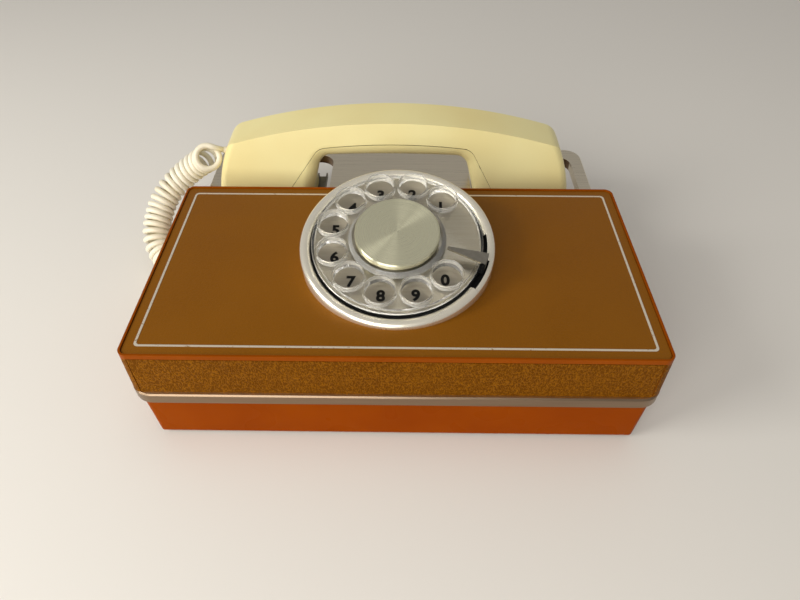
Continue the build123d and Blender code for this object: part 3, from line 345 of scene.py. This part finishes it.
def set_out(tree, given, end, shape, turn):
    """Puts the shape at each of the points, made real and with its material, as the tree's result."""
    spread = place(
        tree, "GeometryNodeInstanceOnPoints", Points=given["Geometry"], Instance=shape, Rotation=turn
    ).outputs[0]
    real = place(tree, "GeometryNodeRealizeInstances", Geometry=spread).outputs[0]
    coated = place(tree, "GeometryNodeSetMaterial", Geometry=real, Material=given["Material"]).outputs[0]
    tree.links.new(coated, end.inputs[0])


def grown(tree, points, material, sizes):
    """The plain mesh that a geometry tree makes at some points, with its sizes given by name."""
    spots = bpy.data.meshes.new("spots")
    spots.from_pydata(points, [], [])
    holder = bpy.data.objects.new("spots", spots)
    scene.collection.objects.link(holder)
    maker = holder.modifiers.new("maker", "NODES")
    maker.node_group = tree
    for item in tree.interface.items_tree:
        if item.in_out == "INPUT" and item.name in sizes:
            maker[item.identifier] = sizes[item.name]
        elif item.in_out == "INPUT" and item.name == "Material":
            maker[item.identifier] = material
    mesh = as_mesh(holder)
    bpy.data.objects.remove(holder)
    return mesh


screw_tree, given, end = growing_tree(
    "slotted_screws", "Head Radius", "Head Height", "Shank Radius", "Shank Length", "Slot Width", "Turn Over"
)
head = rod(screw_tree, given["Head Radius"], given["Head Height"], head_sides)
head = raised(screw_tree, head, times(screw_tree, given["Head Height"], -0.5))
slot_size = place(
    screw_tree, "ShaderNodeCombineXYZ",
    X=times(screw_tree, given["Head Radius"], 3.0), Y=given["Slot Width"], Z=given["Head Height"],
).outputs[0]
slot_bar = place(screw_tree, "GeometryNodeMeshCube", Size=slot_size).outputs["Mesh"]
head = cut(screw_tree, head, raised(screw_tree, slot_bar, times(screw_tree, given["Head Height"], -1.0)))
shank = rod(screw_tree, given["Shank Radius"], given["Shank Length"], shank_sides)
shank = raised(screw_tree, shank, times(screw_tree, given["Shank Length"], 0.5))
slot_way = place(
    screw_tree, "FunctionNodeRandomValue", {"data_type": "FLOAT"}, in_2=0.0, in_3=math.pi, Seed=slot_seed
).outputs[1]
screw_turn = place(screw_tree, "ShaderNodeCombineXYZ", X=given["Turn Over"], Z=slot_way).outputs[0]
set_out(screw_tree, given, end, gathered(screw_tree, head, shank), screw_turn)


def slotted_screws(name, node, points, material, sizes, body="base"):
    """A row of slotted screws that stands for a solid, their seats at the points."""
    mesh = grown(screw_tree, points, material, sizes)
    return stands_for(edges_rounded(name, mesh, material, screw_edge, segments=2), node, body)


sheet_steel = metal("sheet_steel", paint(168, 168, 162), paint(146, 146, 140), 0.34)
bright_steel = metal("bright_steel", paint(214, 212, 206), paint(196, 194, 188), 0.18, depth=0.000001)
gong_brass = metal("gong_brass", paint(206, 172, 98), paint(184, 148, 76), 0.22)
terminal_brass = metal("terminal_brass", paint(198, 164, 92), paint(168, 134, 70), 0.28, size=0.001)
copper_wire = metal("copper_wire", paint(176, 92, 48), paint(132, 62, 30), 0.30, size=0.0012)
potting = moulded("potting", paint(44, 38, 34), paint(58, 50, 42), 0.55, patch=0.01, peel=0.00005)
black_plastic = moulded("black_plastic", paint(12, 12, 12), paint(18, 18, 18), 0.34, bend=1.2)

screw_low, screw_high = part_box("casing_screws")
casing_head = 0.0034
casing_head_height = 0.0022
casing_seat = screw_low.z + casing_head_height
slotted_screws(
    "clamp_screws", "casing_screws",
    [(x, y, casing_seat) for x in (screw_low.x + casing_head, screw_high.x - casing_head)
     for y in (screw_low.y + casing_head, screw_high.y - casing_head)],
    bright_steel,
    {"Head Radius": casing_head, "Head Height": casing_head_height, "Shank Radius": 0.0019,
     "Shank Length": screw_high.z - casing_seat, "Slot Width": 0.0011},
)

terminal_head = 0.0022
brass_sizes = {
    "Head Radius": terminal_head, "Head Height": terminal_head, "Shank Radius": 0.0008,
    "Shank Length": 0.0004, "Slot Width": 0.0007, "Turn Over": math.pi,
}
strip_low, strip_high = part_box("terminal_screws")
strip_count = 6
strip_step = (strip_high.y - strip_low.y - 2 * terminal_head) / (strip_count - 1)
slotted_screws(
    "strip_screws", "terminal_screws",
    [(strip_low.x + terminal_head, strip_low.y + terminal_head + i * strip_step, strip_low.z)
     for i in range(strip_count)],
    terminal_brass, brass_sizes,
)
block_low, block_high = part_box("network_terminals")
block_step = (block_high.x - block_low.x - 2 * terminal_head) / (strip_count - 1)
slotted_screws(
    "network_screws", "network_terminals",
    [(block_low.x + terminal_head + i * block_step, y, block_low.z) for i in range(strip_count)
     for y in (block_low.y + terminal_head, block_high.y - terminal_head)],
    terminal_brass, brass_sizes,
)

bobbin_sides = 48
bore_sides = 32
bore_overcut = 1.2
winding_share = 0.96
coil_tree, given, end = growing_tree(
    "coil_winding", "Coil Radius", "Bore Radius", "Length", "Wire", "Turn Over"
)
bobbin_radius = place(
    coil_tree, "ShaderNodeMath", {"operation": "SUBTRACT"}, in_0=given["Coil Radius"], in_1=given["Wire"]
).outputs[0]
bobbin = rod(coil_tree, bobbin_radius, given["Length"], bobbin_sides)
bore_length = times(coil_tree, given["Length"], bore_overcut)
bobbin = cut(coil_tree, bobbin, rod(coil_tree, given["Bore Radius"], bore_length, bore_sides))
winding_height = times(coil_tree, given["Length"], winding_share)
wire_middle = place(
    coil_tree, "ShaderNodeMath", {"operation": "MULTIPLY_ADD"}, in_0=given["Wire"], in_1=-0.5,
    in_2=given["Coil Radius"],
).outputs[0]
winding_turns = place(
    coil_tree, "ShaderNodeMath", {"operation": "DIVIDE"}, in_0=winding_height, in_1=given["Wire"]
).outputs[0]
winding = place(
    coil_tree, "GeometryNodeCurveSpiral", Resolution=28, Rotations=winding_turns,
    Start_Radius=wire_middle, End_Radius=wire_middle, Height=winding_height,
).outputs[0]
winding = raised(coil_tree, winding, times(coil_tree, winding_height, -0.5))
wire_round = place(
    coil_tree, "GeometryNodeCurvePrimitiveCircle", Resolution=8, Radius=times(coil_tree, given["Wire"], 0.5)
).outputs[0]
winding = place(
    coil_tree, "GeometryNodeCurveToMesh", Curve=winding, Profile_Curve=wire_round, Fill_Caps=True
).outputs[0]
coil_turn = place(coil_tree, "ShaderNodeCombineXYZ", X=given["Turn Over"]).outputs[0]
set_out(coil_tree, given, end, gathered(coil_tree, bobbin, winding), coil_turn)
coil_low, coil_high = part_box("ringer_coil")
coil_mesh = grown(
    coil_tree, [(coil_low + coil_high) / 2], copper_wire,
    {"Coil Radius": (coil_high.z - coil_low.z) / 2, "Bore Radius": 0.00305,
     "Length": coil_high.y - coil_low.y, "Wire": 0.0006, "Turn Over": math.pi / 2},
)
coil = plain_object("coil_winding", coil_mesh, copper_wire)
coil_mesh.set_sharp_from_angle(angle=math.radians(40))
stands_for(coil, "ringer_coil")
softened("front_gong", gong_brass, 0.0003, "gong_in_front", "brass")
softened("rear_gong", gong_brass, 0.0003, "gong_behind", "brass")
softened("network_block", potting, 0.0008, "potted_network", "potting")
softened("capacitor", sheet_steel, 0.0004, "capacitor_can", "potting")
dress(sheet_steel, "chassis_plate", "ringer_frame", "hook_bracket")
dress(bright_steel, "gong_posts", "ringer_core", "clapper", "lever_pin")
dress(terminal_brass, "hook_contacts", "pulse_contacts")
dress(black_plastic, "terminal_strip")


# The hook lever: a channel of pressed steel that looks out of the box beside the deck.
# It turns on a pin in its bracket, and the handset's left cup holds it down.
dull_steel = metal("dull_steel", paint(132, 129, 116), paint(114, 111, 99), 0.40)
softened("hook_lever", dull_steel, 0.00015, "hook_channel", "bright_steel", body="hook")


# The cradle frame: a satin aluminium casting, brushed from side to side and clamped between base and casing.
# Its windows take the handset's two cups, and its front-facing faces are coloured darker than its top, as
# painted shade.
brushed = {"grain": (90, 1, 1), "size": 0.0005}
shade_slope = -0.25


def partly(piece, material, chosen):
    """Gives those of a piece's faces that are chosen a second material."""
    piece.data.materials.append(material)
    for face in piece.data.polygons:
        face.material_index = 1 if chosen(face) else 0


satin_silver = metal(
    "satin_silver", paint(232, 222, 200), paint(218, 208, 187), 0.30, depth=0.000004, **brushed
)
shaded_silver = metal("shaded_silver", paint(148, 127, 105), paint(135, 114, 93), 0.34, **brushed)
silver_frame = softened("cradle_frame", satin_silver, 0.0006, "silver_frame", "silver_trim")
# Faces that turn to the front get the darker silver: painted shade.
partly(silver_frame, shaded_silver, lambda face: face.normal.y < shade_slope)


# The top casing: the orange lid, moulded with a recess for the vinyl and a thin lip left standing all round.
# The screws from below pull it down on the frame.
lid_plastic = moulded(
    "lid_plastic", paint(138, 66, 5), paint(131, 61, 4), 0.30, bend=1.15, gloss=(1.0, 0.5, 0.1, 1)
)
orange_casing = softened("top_casing", lid_plastic, 0.0004, "orange_casing", "orange_plastic")


# The vinyl: embossed brown sheet, glued into the top and the front of the casing.
# The front one's grain goes on over the casing's border, to the corners and up to the lip.
# A line of silver foil is pressed into the top one.
border_slope = -0.6
border_drop = 0.0035
rub_patch = 0.035
crest_width = 0.08


def blended(material, factor, first, second):
    """Two colours, or patterns of colour, mixed by a factor."""
    mix = add(material, "Mix", {"data_type": "RGBA"}, in_0=factor, in_6=first, in_7=second)
    return mix.outputs[2]


def vinyl_sheet(name, colour, ridge, worn, depth, size, drawn, bend):
    """Embossed sheet: fine wrinkles drawn out one way, lighter on their ridges as painted highlight, and
    pale wherever hands wore it.
    """
    material = finish(name, colour, 0.42, bend=bend, gloss=(1.0, 0.66, 0.22, 1))
    wrinkle = speckle(material, size, (1, 1, drawn), detail=1.0, uneven=0.3)
    away = add(material, "Math", {"operation": "SUBTRACT"}, in_0=wrinkle, in_1=0.5).outputs[0]
    away = add(material, "Math", {"operation": "ABSOLUTE"}, in_0=away).outputs[0]
    crest = between(material, away, 1.0, 0.0, 0.0, crest_width)
    rub = speckle(material, rub_patch, detail=6.0, uneven=0.5)
    base = colours(material, rub, (0.3, colour), (0.75, worn))
    # The wrinkles' crests take the lighter ridge colour over a darker base: painted highlight and painted
    # shade.
    join(material, blended(material, crest, base, ridge), "Base Color")
    join(material, between(material, rub, 0.38, 0.52), "Roughness")
    low = relief(material, wrinkle, depth, 0.5)
    join(material, relief(material, crest, depth * 0.5, 0.6, low), "Normal")
    return material


top_vinyl = vinyl_sheet(
    "top_vinyl", paint(119, 71, 5), paint(126, 76, 8), paint(126, 77, 11), 0.00010, 0.0012, 1.0, 1.40
)
front_vinyl = vinyl_sheet(
    "front_vinyl", paint(96, 54, 2), paint(138, 86, 13), paint(102, 59, 4), 0.00030, 0.0010, 2.0, 1.12
)
dress(top_vinyl, "top_panel")
dress(front_vinyl, "front_panel")
border_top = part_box("top_casing")[1].z - border_drop
partly(
    orange_casing, front_vinyl, lambda face: face.normal.y < border_slope and face.center.z < border_top
)
foil = finish("silver_foil", paint(226, 216, 196), 0.35, 0.6)
scuffs = speckle(foil, 0.0011, detail=5.0)
join(foil, colours(foil, scuffs, (0.28, paint(176, 146, 108)), (0.38, paint(230, 220, 200))), "Base Color")
dress(foil, "pinstripe")


# The dial's fixed parts: a polished bezel pressed over the casing's opening, its inner wall coloured black
# as painted shade, a black moulding inside it with the grey number plate on top,
# and the steel and brass works that hang under the mount.
dial_tilt = 13.0
dial_middle = (0.0, -0.0377, 0.072623)
dial_place = Matrix.Translation(dial_middle) @ Matrix.Rotation(math.radians(dial_tilt), 4, "X")


def full_turn(steps):
    """Angles at even steps round a circle."""
    return [2 * math.pi * k / steps for k in range(steps)]


def on_dial(radius, angle, height):
    """A point given by its radius and angle round the dial's axis and its height along it."""
    return dial_place @ Vector((radius * math.cos(angle), radius * math.sin(angle), height))


def lathed(angles, profile_at):
    """A closed ring turned round the dial's axis. Its profile may change with the angle."""
    verts = [on_dial(radius, angle, height) for angle in angles for radius, height in profile_at(angle)]
    count = len(verts) // len(angles)
    faces = []
    for i in range(len(angles)):
        ahead = (i + 1) % len(angles)
        for k in range(count):
            after = (k + 1) % count
            faces.append((i * count + k, ahead * count + k, ahead * count + after, i * count + after))
    mesh = bpy.data.meshes.new("ring")
    mesh.from_pydata(verts, [], faces)
    return mesh


bezel_silver = metal(
    "bezel_silver", paint(250, 244, 226), paint(246, 239, 221), 0.22, size=0.04, depth=0.0, metallic=0.78
)
bezel_outer = 0.0450
bezel_skirt = 0.0430
bezel_inner = 0.0402
bezel_crest = 0.0426
bezel_round = 0.0026
bezel_back = -0.0030
bezel_sides = 256
crest_steps = 14
shaded_inner_wall = (crest_steps + 1, crest_steps + 2)
slot_edges = [(-36.7, -14.3, 0.04295), (-14.3, 6.5, 0.0413)]
slot_hair = 0.04
panel_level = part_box("dial_bezel")[0].z


def bezel_profile(angle):
    """The bezel's section: up from the vinyl, over the crest and down inside, wider at the stop's slot."""
    degrees = (math.degrees(angle) + 180) % 360 - 180
    opening = next((radius for low, high, radius in slot_edges if low < degrees < high), bezel_inner)
    tilt = math.radians(dial_tilt)

    def foot(radius):
        return (panel_level - dial_middle[2] - radius * math.sin(angle) * math.sin(tilt)) / math.cos(tilt)

    first = math.acos((bezel_outer - bezel_crest) / bezel_round)
    last = math.acos((opening - bezel_crest) / bezel_round)
    section = [(bezel_outer, foot(bezel_outer))]
    for step in range(crest_steps + 1):
        way = first + (last - first) * step / crest_steps
        section.append((bezel_crest + bezel_round * math.cos(way), bezel_round * (math.sin(way) - 1)))
    return section + [(opening, bezel_back), (bezel_skirt, bezel_back), (bezel_skirt, foot(bezel_skirt))]


bezel_angles = full_turn(bezel_sides)
for low, high, _ in slot_edges:
    for edge in (low, high):
        bezel_angles += [math.radians((edge + hair) % 360) for hair in (-slot_hair, slot_hair)]
bezel_mesh = lathed(sorted(set(bezel_angles)), bezel_profile)
bezel = plain_object("polished_bezel", bezel_mesh, bezel_silver)
section_size = len(bezel_profile(0.0))
# The bezel's inner wall takes black plastic: painted shade.
partly(bezel, black_plastic, lambda face: face.index % section_size in shaded_inner_wall)
bezel_mesh.set_sharp_from_angle(angle=math.radians(40))
stands_for(bezel, "dial_bezel")
plate_grey = metal(
    "plate_grey", paint(174, 166, 150), paint(162, 154, 138), 0.36, grain=(40, 1, 1), size=0.0005
)
softened("number_plate", plate_grey, 0.0001, "printed_plate", "number_plate")
dress(black_plastic, "dial_mount", "stop_ring", "pulse_cam")
dress(bright_steel, "dial_screws", "dial_shaft", "wheel_nut", "return_spring", "governor")
dress(sheet_steel, "dial_bridge")
dress(gong_brass, "main_gear", "pulse_gear")


# The numbers: printed in black on the plate, upright, one under each finger hole.
# They are cut as thin as ink and lie a hair above the plate.
number_circle = 0.0296
first_number = 46.6
number_step = 30.0
number_height = 0.0058
number_level = -0.00087
number_bold = 0.00034
digit_share = 0.76
ink_flatness = 0.06
ink = finish("printing_ink", paint(12, 11, 11), 0.6, bend=1.15)
ink_marks = speckle(ink, 0.0006, detail=3.0)
join(ink, colours(ink, ink_marks, (0.35, paint(8, 8, 8)), (0.75, paint(20, 19, 18))), "Base Color")
printed = bmesh.new()
for i, digit in enumerate("1234567890"):
    words = bpy.data.curves.new("number", "FONT")
    words.body = digit
    words.size = number_height / digit_share
    words.bevel_depth = number_bold
    words.bevel_resolution = 2
    words.align_x = "CENTER"
    holder = bpy.data.objects.new("number", words)
    scene.collection.objects.link(holder)
    shape = as_mesh(holder)
    bpy.data.objects.remove(holder)
    angle = math.radians(first_number + number_step * i)
    across, up = number_circle * math.cos(angle), number_circle * math.sin(angle)
    spot = (across, up - number_height / 2, number_level)
    shape.transform(dial_place @ Matrix.Translation(spot) @ Matrix.Diagonal((1, 1, ink_flatness, 1)))
    printed.from_mesh(shape)
number_mesh = bpy.data.meshes.new("dial_numbers")
printed.to_mesh(number_mesh)
printed.free()
numbers = plain_object("dial_numbers", number_mesh, ink)
number_mesh.polygons.foreach_set("use_smooth", [False] * len(number_mesh.polygons))
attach(numbers, "base")


# The finger wheel: one clear acrylic moulding, with a collar round each hole, a raised hub and a rim that
# nearly fills the bezel. Its walls and edges are whiter and cloudier than its faces, as painted highlight. A
# nut holds it to the shaft under the centre disc.
acrylic_bend = 1.45
rim_sides = 192
rim_inner = 0.0376
rim_outer = 0.0393
rim_low = -0.0003
rim_high = 0.0014
rim_foot_edge = 0.0003
rim_top_edge = 0.0006
rim_top_ease = 0.0002
highlight_edge_limit = 0.75


def acrylic(name, colour, roughness, clearness, mark_size, mark_detail, smooth, dull):
    """Clear plastic with fine marks, along which it goes from smooth to dull."""
    material = finish(name, colour, roughness, bend=acrylic_bend)
    shader_inputs(material)["Transmission Weight"].default_value = clearness
    marks = speckle(material, mark_size, detail=mark_detail)
    join(material, between(material, marks, smooth, dull), "Roughness")
    return material


clear_acrylic = acrylic("clear_acrylic", paint(250, 250, 246), 0.02, 1.0, 0.003, 6.0, 0.0, 0.06)
# A whiter, less clear acrylic for the wheel's walls and edges: painted highlight.
highlight_acrylic = acrylic("highlight_acrylic", paint(246, 245, 240), 0.12, 0.80, 0.0012, 5.0, 0.06, 0.22)
rim_section = [
    (rim_inner, rim_low), (rim_outer - rim_foot_edge, rim_low), (rim_outer, rim_low + rim_foot_edge),
    (rim_outer, rim_high - rim_top_edge), (rim_outer - rim_top_ease, rim_high - rim_top_ease),
    (rim_outer - rim_top_edge, rim_high), (rim_inner, rim_high),
]
rim_mesh = lathed(full_turn(rim_sides), lambda angle: rim_section)
wheel = softened("finger_wheel", clear_acrylic, 0.00025, "clear_wheel", "clear_plastic", body="dial_wheel")
with_rim = bmesh.new()
with_rim.from_mesh(wheel.data)
with_rim.from_mesh(rim_mesh)
with_rim.to_mesh(wheel.data)
with_rim.free()
wheel.visible_shadow = False
dial_way = (dial_place.to_3x3() @ Vector((0, 0, 1))).normalized()
# Faces that turn away from the dial's axis take the whiter acrylic: painted highlight.
partly(wheel, highlight_acrylic, lambda face: abs(face.normal.dot(dial_way)) < highlight_edge_limit)


# The centre disc: aluminium spun on a lathe, so that fine rings run round it and light draws streaks from
# its middle. It is pressed into the wheel's hub.
disc_low, disc_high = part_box("centre_disc")
disc_radius = (disc_high.x - disc_low.x) / 2
disc_foot = 0.0048
disc_thickness = 0.0026
disc_bevel = 0.0008
disc_sides = 128
disc_shares = (0.96, 0.8, 0.6, 0.4, 0.2, 0.05)
ring_scale = (3.0, 260.0, 1.0)
disc_profile = [(disc_radius, disc_foot), (disc_radius, disc_foot + disc_thickness - disc_bevel)]
disc_profile += [
    (disc_radius - disc_bevel * share, disc_foot + disc_thickness - disc_bevel * (1 - share) ** 2)
    for share in (0.25, 0.5, 0.75, 1.0)
]
disc_profile += [(disc_radius * share, disc_foot + disc_thickness) for share in disc_shares]
disc_verts = [
    on_dial(radius, angle, height) for radius, height in disc_profile for angle in full_turn(disc_sides)
]
disc_faces = []
disc_marks = []
for i in range(len(disc_profile) - 1):
    inner, outer = disc_profile[i + 1][0] / disc_radius, disc_profile[i][0] / disc_radius
    for k in range(disc_sides):
        a, b = i * disc_sides + k, i * disc_sides + (k + 1) % disc_sides
        disc_faces.append((a, b, b + disc_sides, a + disc_sides))
        start, stop = k / disc_sides, (k + 1) / disc_sides
        disc_marks += [(start, outer), (stop, outer), (stop, inner), (start, inner)]
disc_faces.append(tuple(range((len(disc_profile) - 1) * disc_sides, len(disc_profile) * disc_sides)))
disc_marks += [(k / disc_sides, disc_shares[-1]) for k in range(disc_sides)]
disc_faces.append(tuple(reversed(range(disc_sides))))
disc_marks += [(k / disc_sides, 1.0) for k in reversed(range(disc_sides))]
disc_mesh = bpy.data.meshes.new("spun_disc")
disc_mesh.from_pydata(disc_verts, [], disc_faces)
lathe_map = disc_mesh.uv_layers.new(name="lathe")
lathe_map.data.foreach_set("uv", [number for mark in disc_marks for number in mark])
spun_metal = finish("spun_aluminium", paint(234, 231, 199), 0.28, 0.9)
shader_inputs(spun_metal)["Anisotropic"].default_value = 0.95
shader_inputs(spun_metal)["Anisotropic Rotation"].default_value = 0.25
lathe_way = add(spun_metal, "Tangent", {"direction_type": "UV_MAP", "uv_map": "lathe"})
join(spun_metal, lathe_way.outputs[0], "Tangent")
lathe_spot = add(spun_metal, "UVMap", {"uv_map": "lathe"}).outputs[0]
lathe_rings = add(spun_metal, "Mapping", Vector=lathe_spot, Scale=ring_scale).outputs[0]
rings = add(spun_metal, "TexNoise", Vector=lathe_rings, Scale=1.0, Detail=3.0).outputs["Fac"]
ring_stops = (0.3, paint(226, 223, 192)), (0.7, paint(240, 237, 205))
join(spun_metal, colours(spun_metal, rings, *ring_stops), "Base Color")
join(spun_metal, between(spun_metal, rings, 0.24, 0.34), "Roughness")
disc = plain_object("spun_disc", disc_mesh, spun_metal)
disc_mesh.set_sharp_from_angle(angle=math.radians(30))
stands_for(disc, "centre_disc", "dial_wheel")


# The finger stop: a chromed steel blade on a stem that comes up through the bezel's slot; the stem is
# coloured black as painted shade.
# It is riveted to the stop ring under the number plate.
shaded_stem_top = 0.0040
chrome = metal("chrome", paint(168, 163, 150), paint(156, 151, 138), 0.16, depth=0.0)
stop = softened("finger_stop", chrome, 0.0003, "stop_blade", "bright_steel", body="stop")
# Faces below the blade take black plastic: painted shade on the stem.
partly(stop, black_plastic, lambda face: (dial_place.inverted() @ face.center).z < shaded_stem_top)


# The handset: two cream shells that part at a seam round the notch, the seam coloured dark as painted shade,
# with sound holes in both cups. Two slotted screws hold the shells together, and a soft boot guards the cord
# where it leaves.
cream_plastic = moulded(
    "cream_plastic", paint(234, 223, 163), paint(229, 213, 149), 0.32, patch=0.05, bend=1.4
)
shell_edge = {"width": 0.00035, "slot": "cream_plastic", "body": "handset", "sharp": 30.0, "flat": 0.01}
outer = softened("handset_back", cream_plastic, name="handset_outer", **shell_edge)
inner = softened("handset_face", cream_plastic, name="handset_inner", **shell_edge)
seam_shade = moulded("seam_shade", paint(98, 80, 38), paint(82, 66, 30), 0.6)
seam_shade_reach = 0.00055
skins = [
    BVHTree.FromPolygons([v.co for v in mesh.vertices], [face.vertices for face in mesh.polygons])
    for mesh in (outer.data, inner.data)
]
for shell, opposite in ((outer, skins[1]), (inner, skins[0])):
    gaps = [opposite.find_nearest(vertex.co)[3] for vertex in shell.data.vertices]
    # Faces within reach of the other shell take the dark brown: painted shade in the seam.
    partly(shell, seam_shade, lambda face: max(gaps[k] for k in face.vertices) < seam_shade_reach)
softened("cord_boot", cream_rubber, 0.0005, "soft_boot", "cream_rubber", body="handset")
dress(black_plastic, "receiver", "transmitter")
shell_low, shell_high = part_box("handset_screws")
shell_head = 0.0024
shell_head_height = 0.0012
shell_seat = shell_low.z + shell_head_height
shell_middle = (shell_low.y + shell_high.y) / 2
slotted_screws(
    "shell_screws", "handset_screws",
    [(x, shell_middle, shell_seat) for x in (shell_low.x + shell_head, shell_high.x - shell_head)],
    bright_steel,
    {"Head Radius": shell_head, "Head Height": shell_head_height, "Shank Radius": 0.0012,
     "Shank Length": shell_high.z - shell_seat, "Slot Width": 0.0008}, body="handset",
)


# The handset cord: soft cream plastic over tinsel wire, wound into tight curls and baked.
# It leaves the boot in the handset's left end, hangs down beside the box and goes into the box's left side.
cord_wire = 0.0033
curl_radius = 0.0066
curl_gap = 0.00010
tail_length = 0.0110
tightest_bend = 0.5
least_swell = 0.35
points_per_curl = 16
sides_of_cord = 12
route_steps = 400
wire_steps = 2
boot_low, boot_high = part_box("cord_boot")
inlet_low, inlet_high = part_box("cord_inlet")
cord_exit = Vector((boot_low.x, *((boot_low + boot_high) / 2).yz))
cord_end = Vector((inlet_low.x, *((inlet_low + inlet_high) / 2).yz))
cord_route = [
    cord_exit + Vector((-0.0074, -0.0082, 0.0003)),
    (-0.1126, 0.0550, 0.0564),
    (-0.1160, 0.0598, 0.0526),
    (-0.1250, 0.0615, 0.0460),
    (-0.1365, 0.0575, 0.0378),
    (-0.1428, 0.0505, 0.0325),
    (-0.1462, 0.0420, 0.0262),
    (-0.1474, 0.0300, 0.0180),
    (-0.1425, 0.0200, 0.0118),
    (-0.1280, 0.0055, 0.0100),
    cord_end + Vector((-0.0060, 0.0, 0.0)),
    cord_end,
]


def smooth_line(route, steps):
    """Points along the smooth curve that the route steers."""
    curve = bpy.data.curves.new("route", "CURVE")
    curve.dimensions = "3D"
    curve.resolution_u = steps
    spline = curve.splines.new("NURBS")
    spline.points.add(len(route) - 1)
    for point, spot in zip(spline.points, route):
        point.co = (*spot, 1)
    spline.order_u = 3
    spline.use_endpoint_u = True
    holder = bpy.data.objects.new("route", curve)
    scene.collection.objects.link(holder)
    points = [vertex.co.copy() for vertex in as_mesh(holder).vertices]
    bpy.data.objects.remove(holder)
    return [p for i, p in enumerate(points) if i == 0 or (p - points[i - 1]).length > same_spot]


def steady_frames(points, side=Vector((0, 0, 1))):
    """For each point of a line, its way and a side vector that doesn't twist."""
    frames = []
    for i in range(len(points)):
        way = (points[min(i + 1, len(points) - 1)] - points[max(i - 1, 0)]).normalized()
        side = (side - way * side.dot(way)).normalized()
        frames.append((way, side))
    return frames


def eased(share):
    """A soft start and end for a share from 0 to 1."""
    share = min(max(share, 0.0), 1.0)
    return share * share * (3 - 2 * share)


def curled(line, start):
    """Points of the wire, round the middle line in curls that just clear each other, to the line's end."""
    frames = steady_frames(line, (start - line[0]).normalized())
    total = sum((b - a).length for a, b in zip(line, line[1:]))
    run = 0.0
    turn = 0.0
    due = 0.0
    wire = []
    for i in range(len(line) - 1):
        way, side = frames[i]
        swell = eased((total - run) / tail_length)
        if turn >= due:
            offset = side * math.cos(turn) - way.cross(side) * math.sin(turn)
            wire.append(line[i] + offset * curl_radius * swell)
            due += 2 * math.pi / points_per_curl
        step = (line[i + 1] - line[i]).length
        bend = frames[i + 1][0].angle(way, 0.0) / step
        inside = max(1 - bend * curl_radius, tightest_bend)
        pitch = (cord_wire + curl_gap) / inside / max(swell, least_swell)
        turn += 2 * math.pi * step / pitch
        run += step
    return [start] + wire[1:] + [line[-1]]


def tube_along(name, points, radius, sides, material):
    """A round tube along a line, closed at both ends."""
    verts = []
    for spot, (way, side) in zip(points, steady_frames(points)):
        other = way.cross(side)
        for angle in full_turn(sides):
            verts.append(spot + (side * math.cos(angle) + other * math.sin(angle)) * radius)
    faces = []
    for i in range(len(points) - 1):
        for k in range(sides):
            a, b = i * sides + k, i * sides + (k + 1) % sides
            faces.append((a, b, b + sides, a + sides))
    faces.append(tuple(reversed(range(sides))))
    faces.append(tuple(range((len(points) - 1) * sides, len(points) * sides)))
    mesh = bpy.data.meshes.new(name)
    mesh.from_pydata(verts, [], faces)
    mesh.update()
    return plain_object(name, mesh, material)


cord_plastic = moulded("cord_plastic", paint(238, 232, 212), paint(230, 220, 192), 0.34)
cord_line = smooth_line(curled(smooth_line(cord_route, route_steps), cord_exit), wire_steps)
cord = tube_along("curly_cord", cord_line, cord_wire / 2, sides_of_cord, cord_plastic)
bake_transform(cord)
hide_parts("handset_cord")
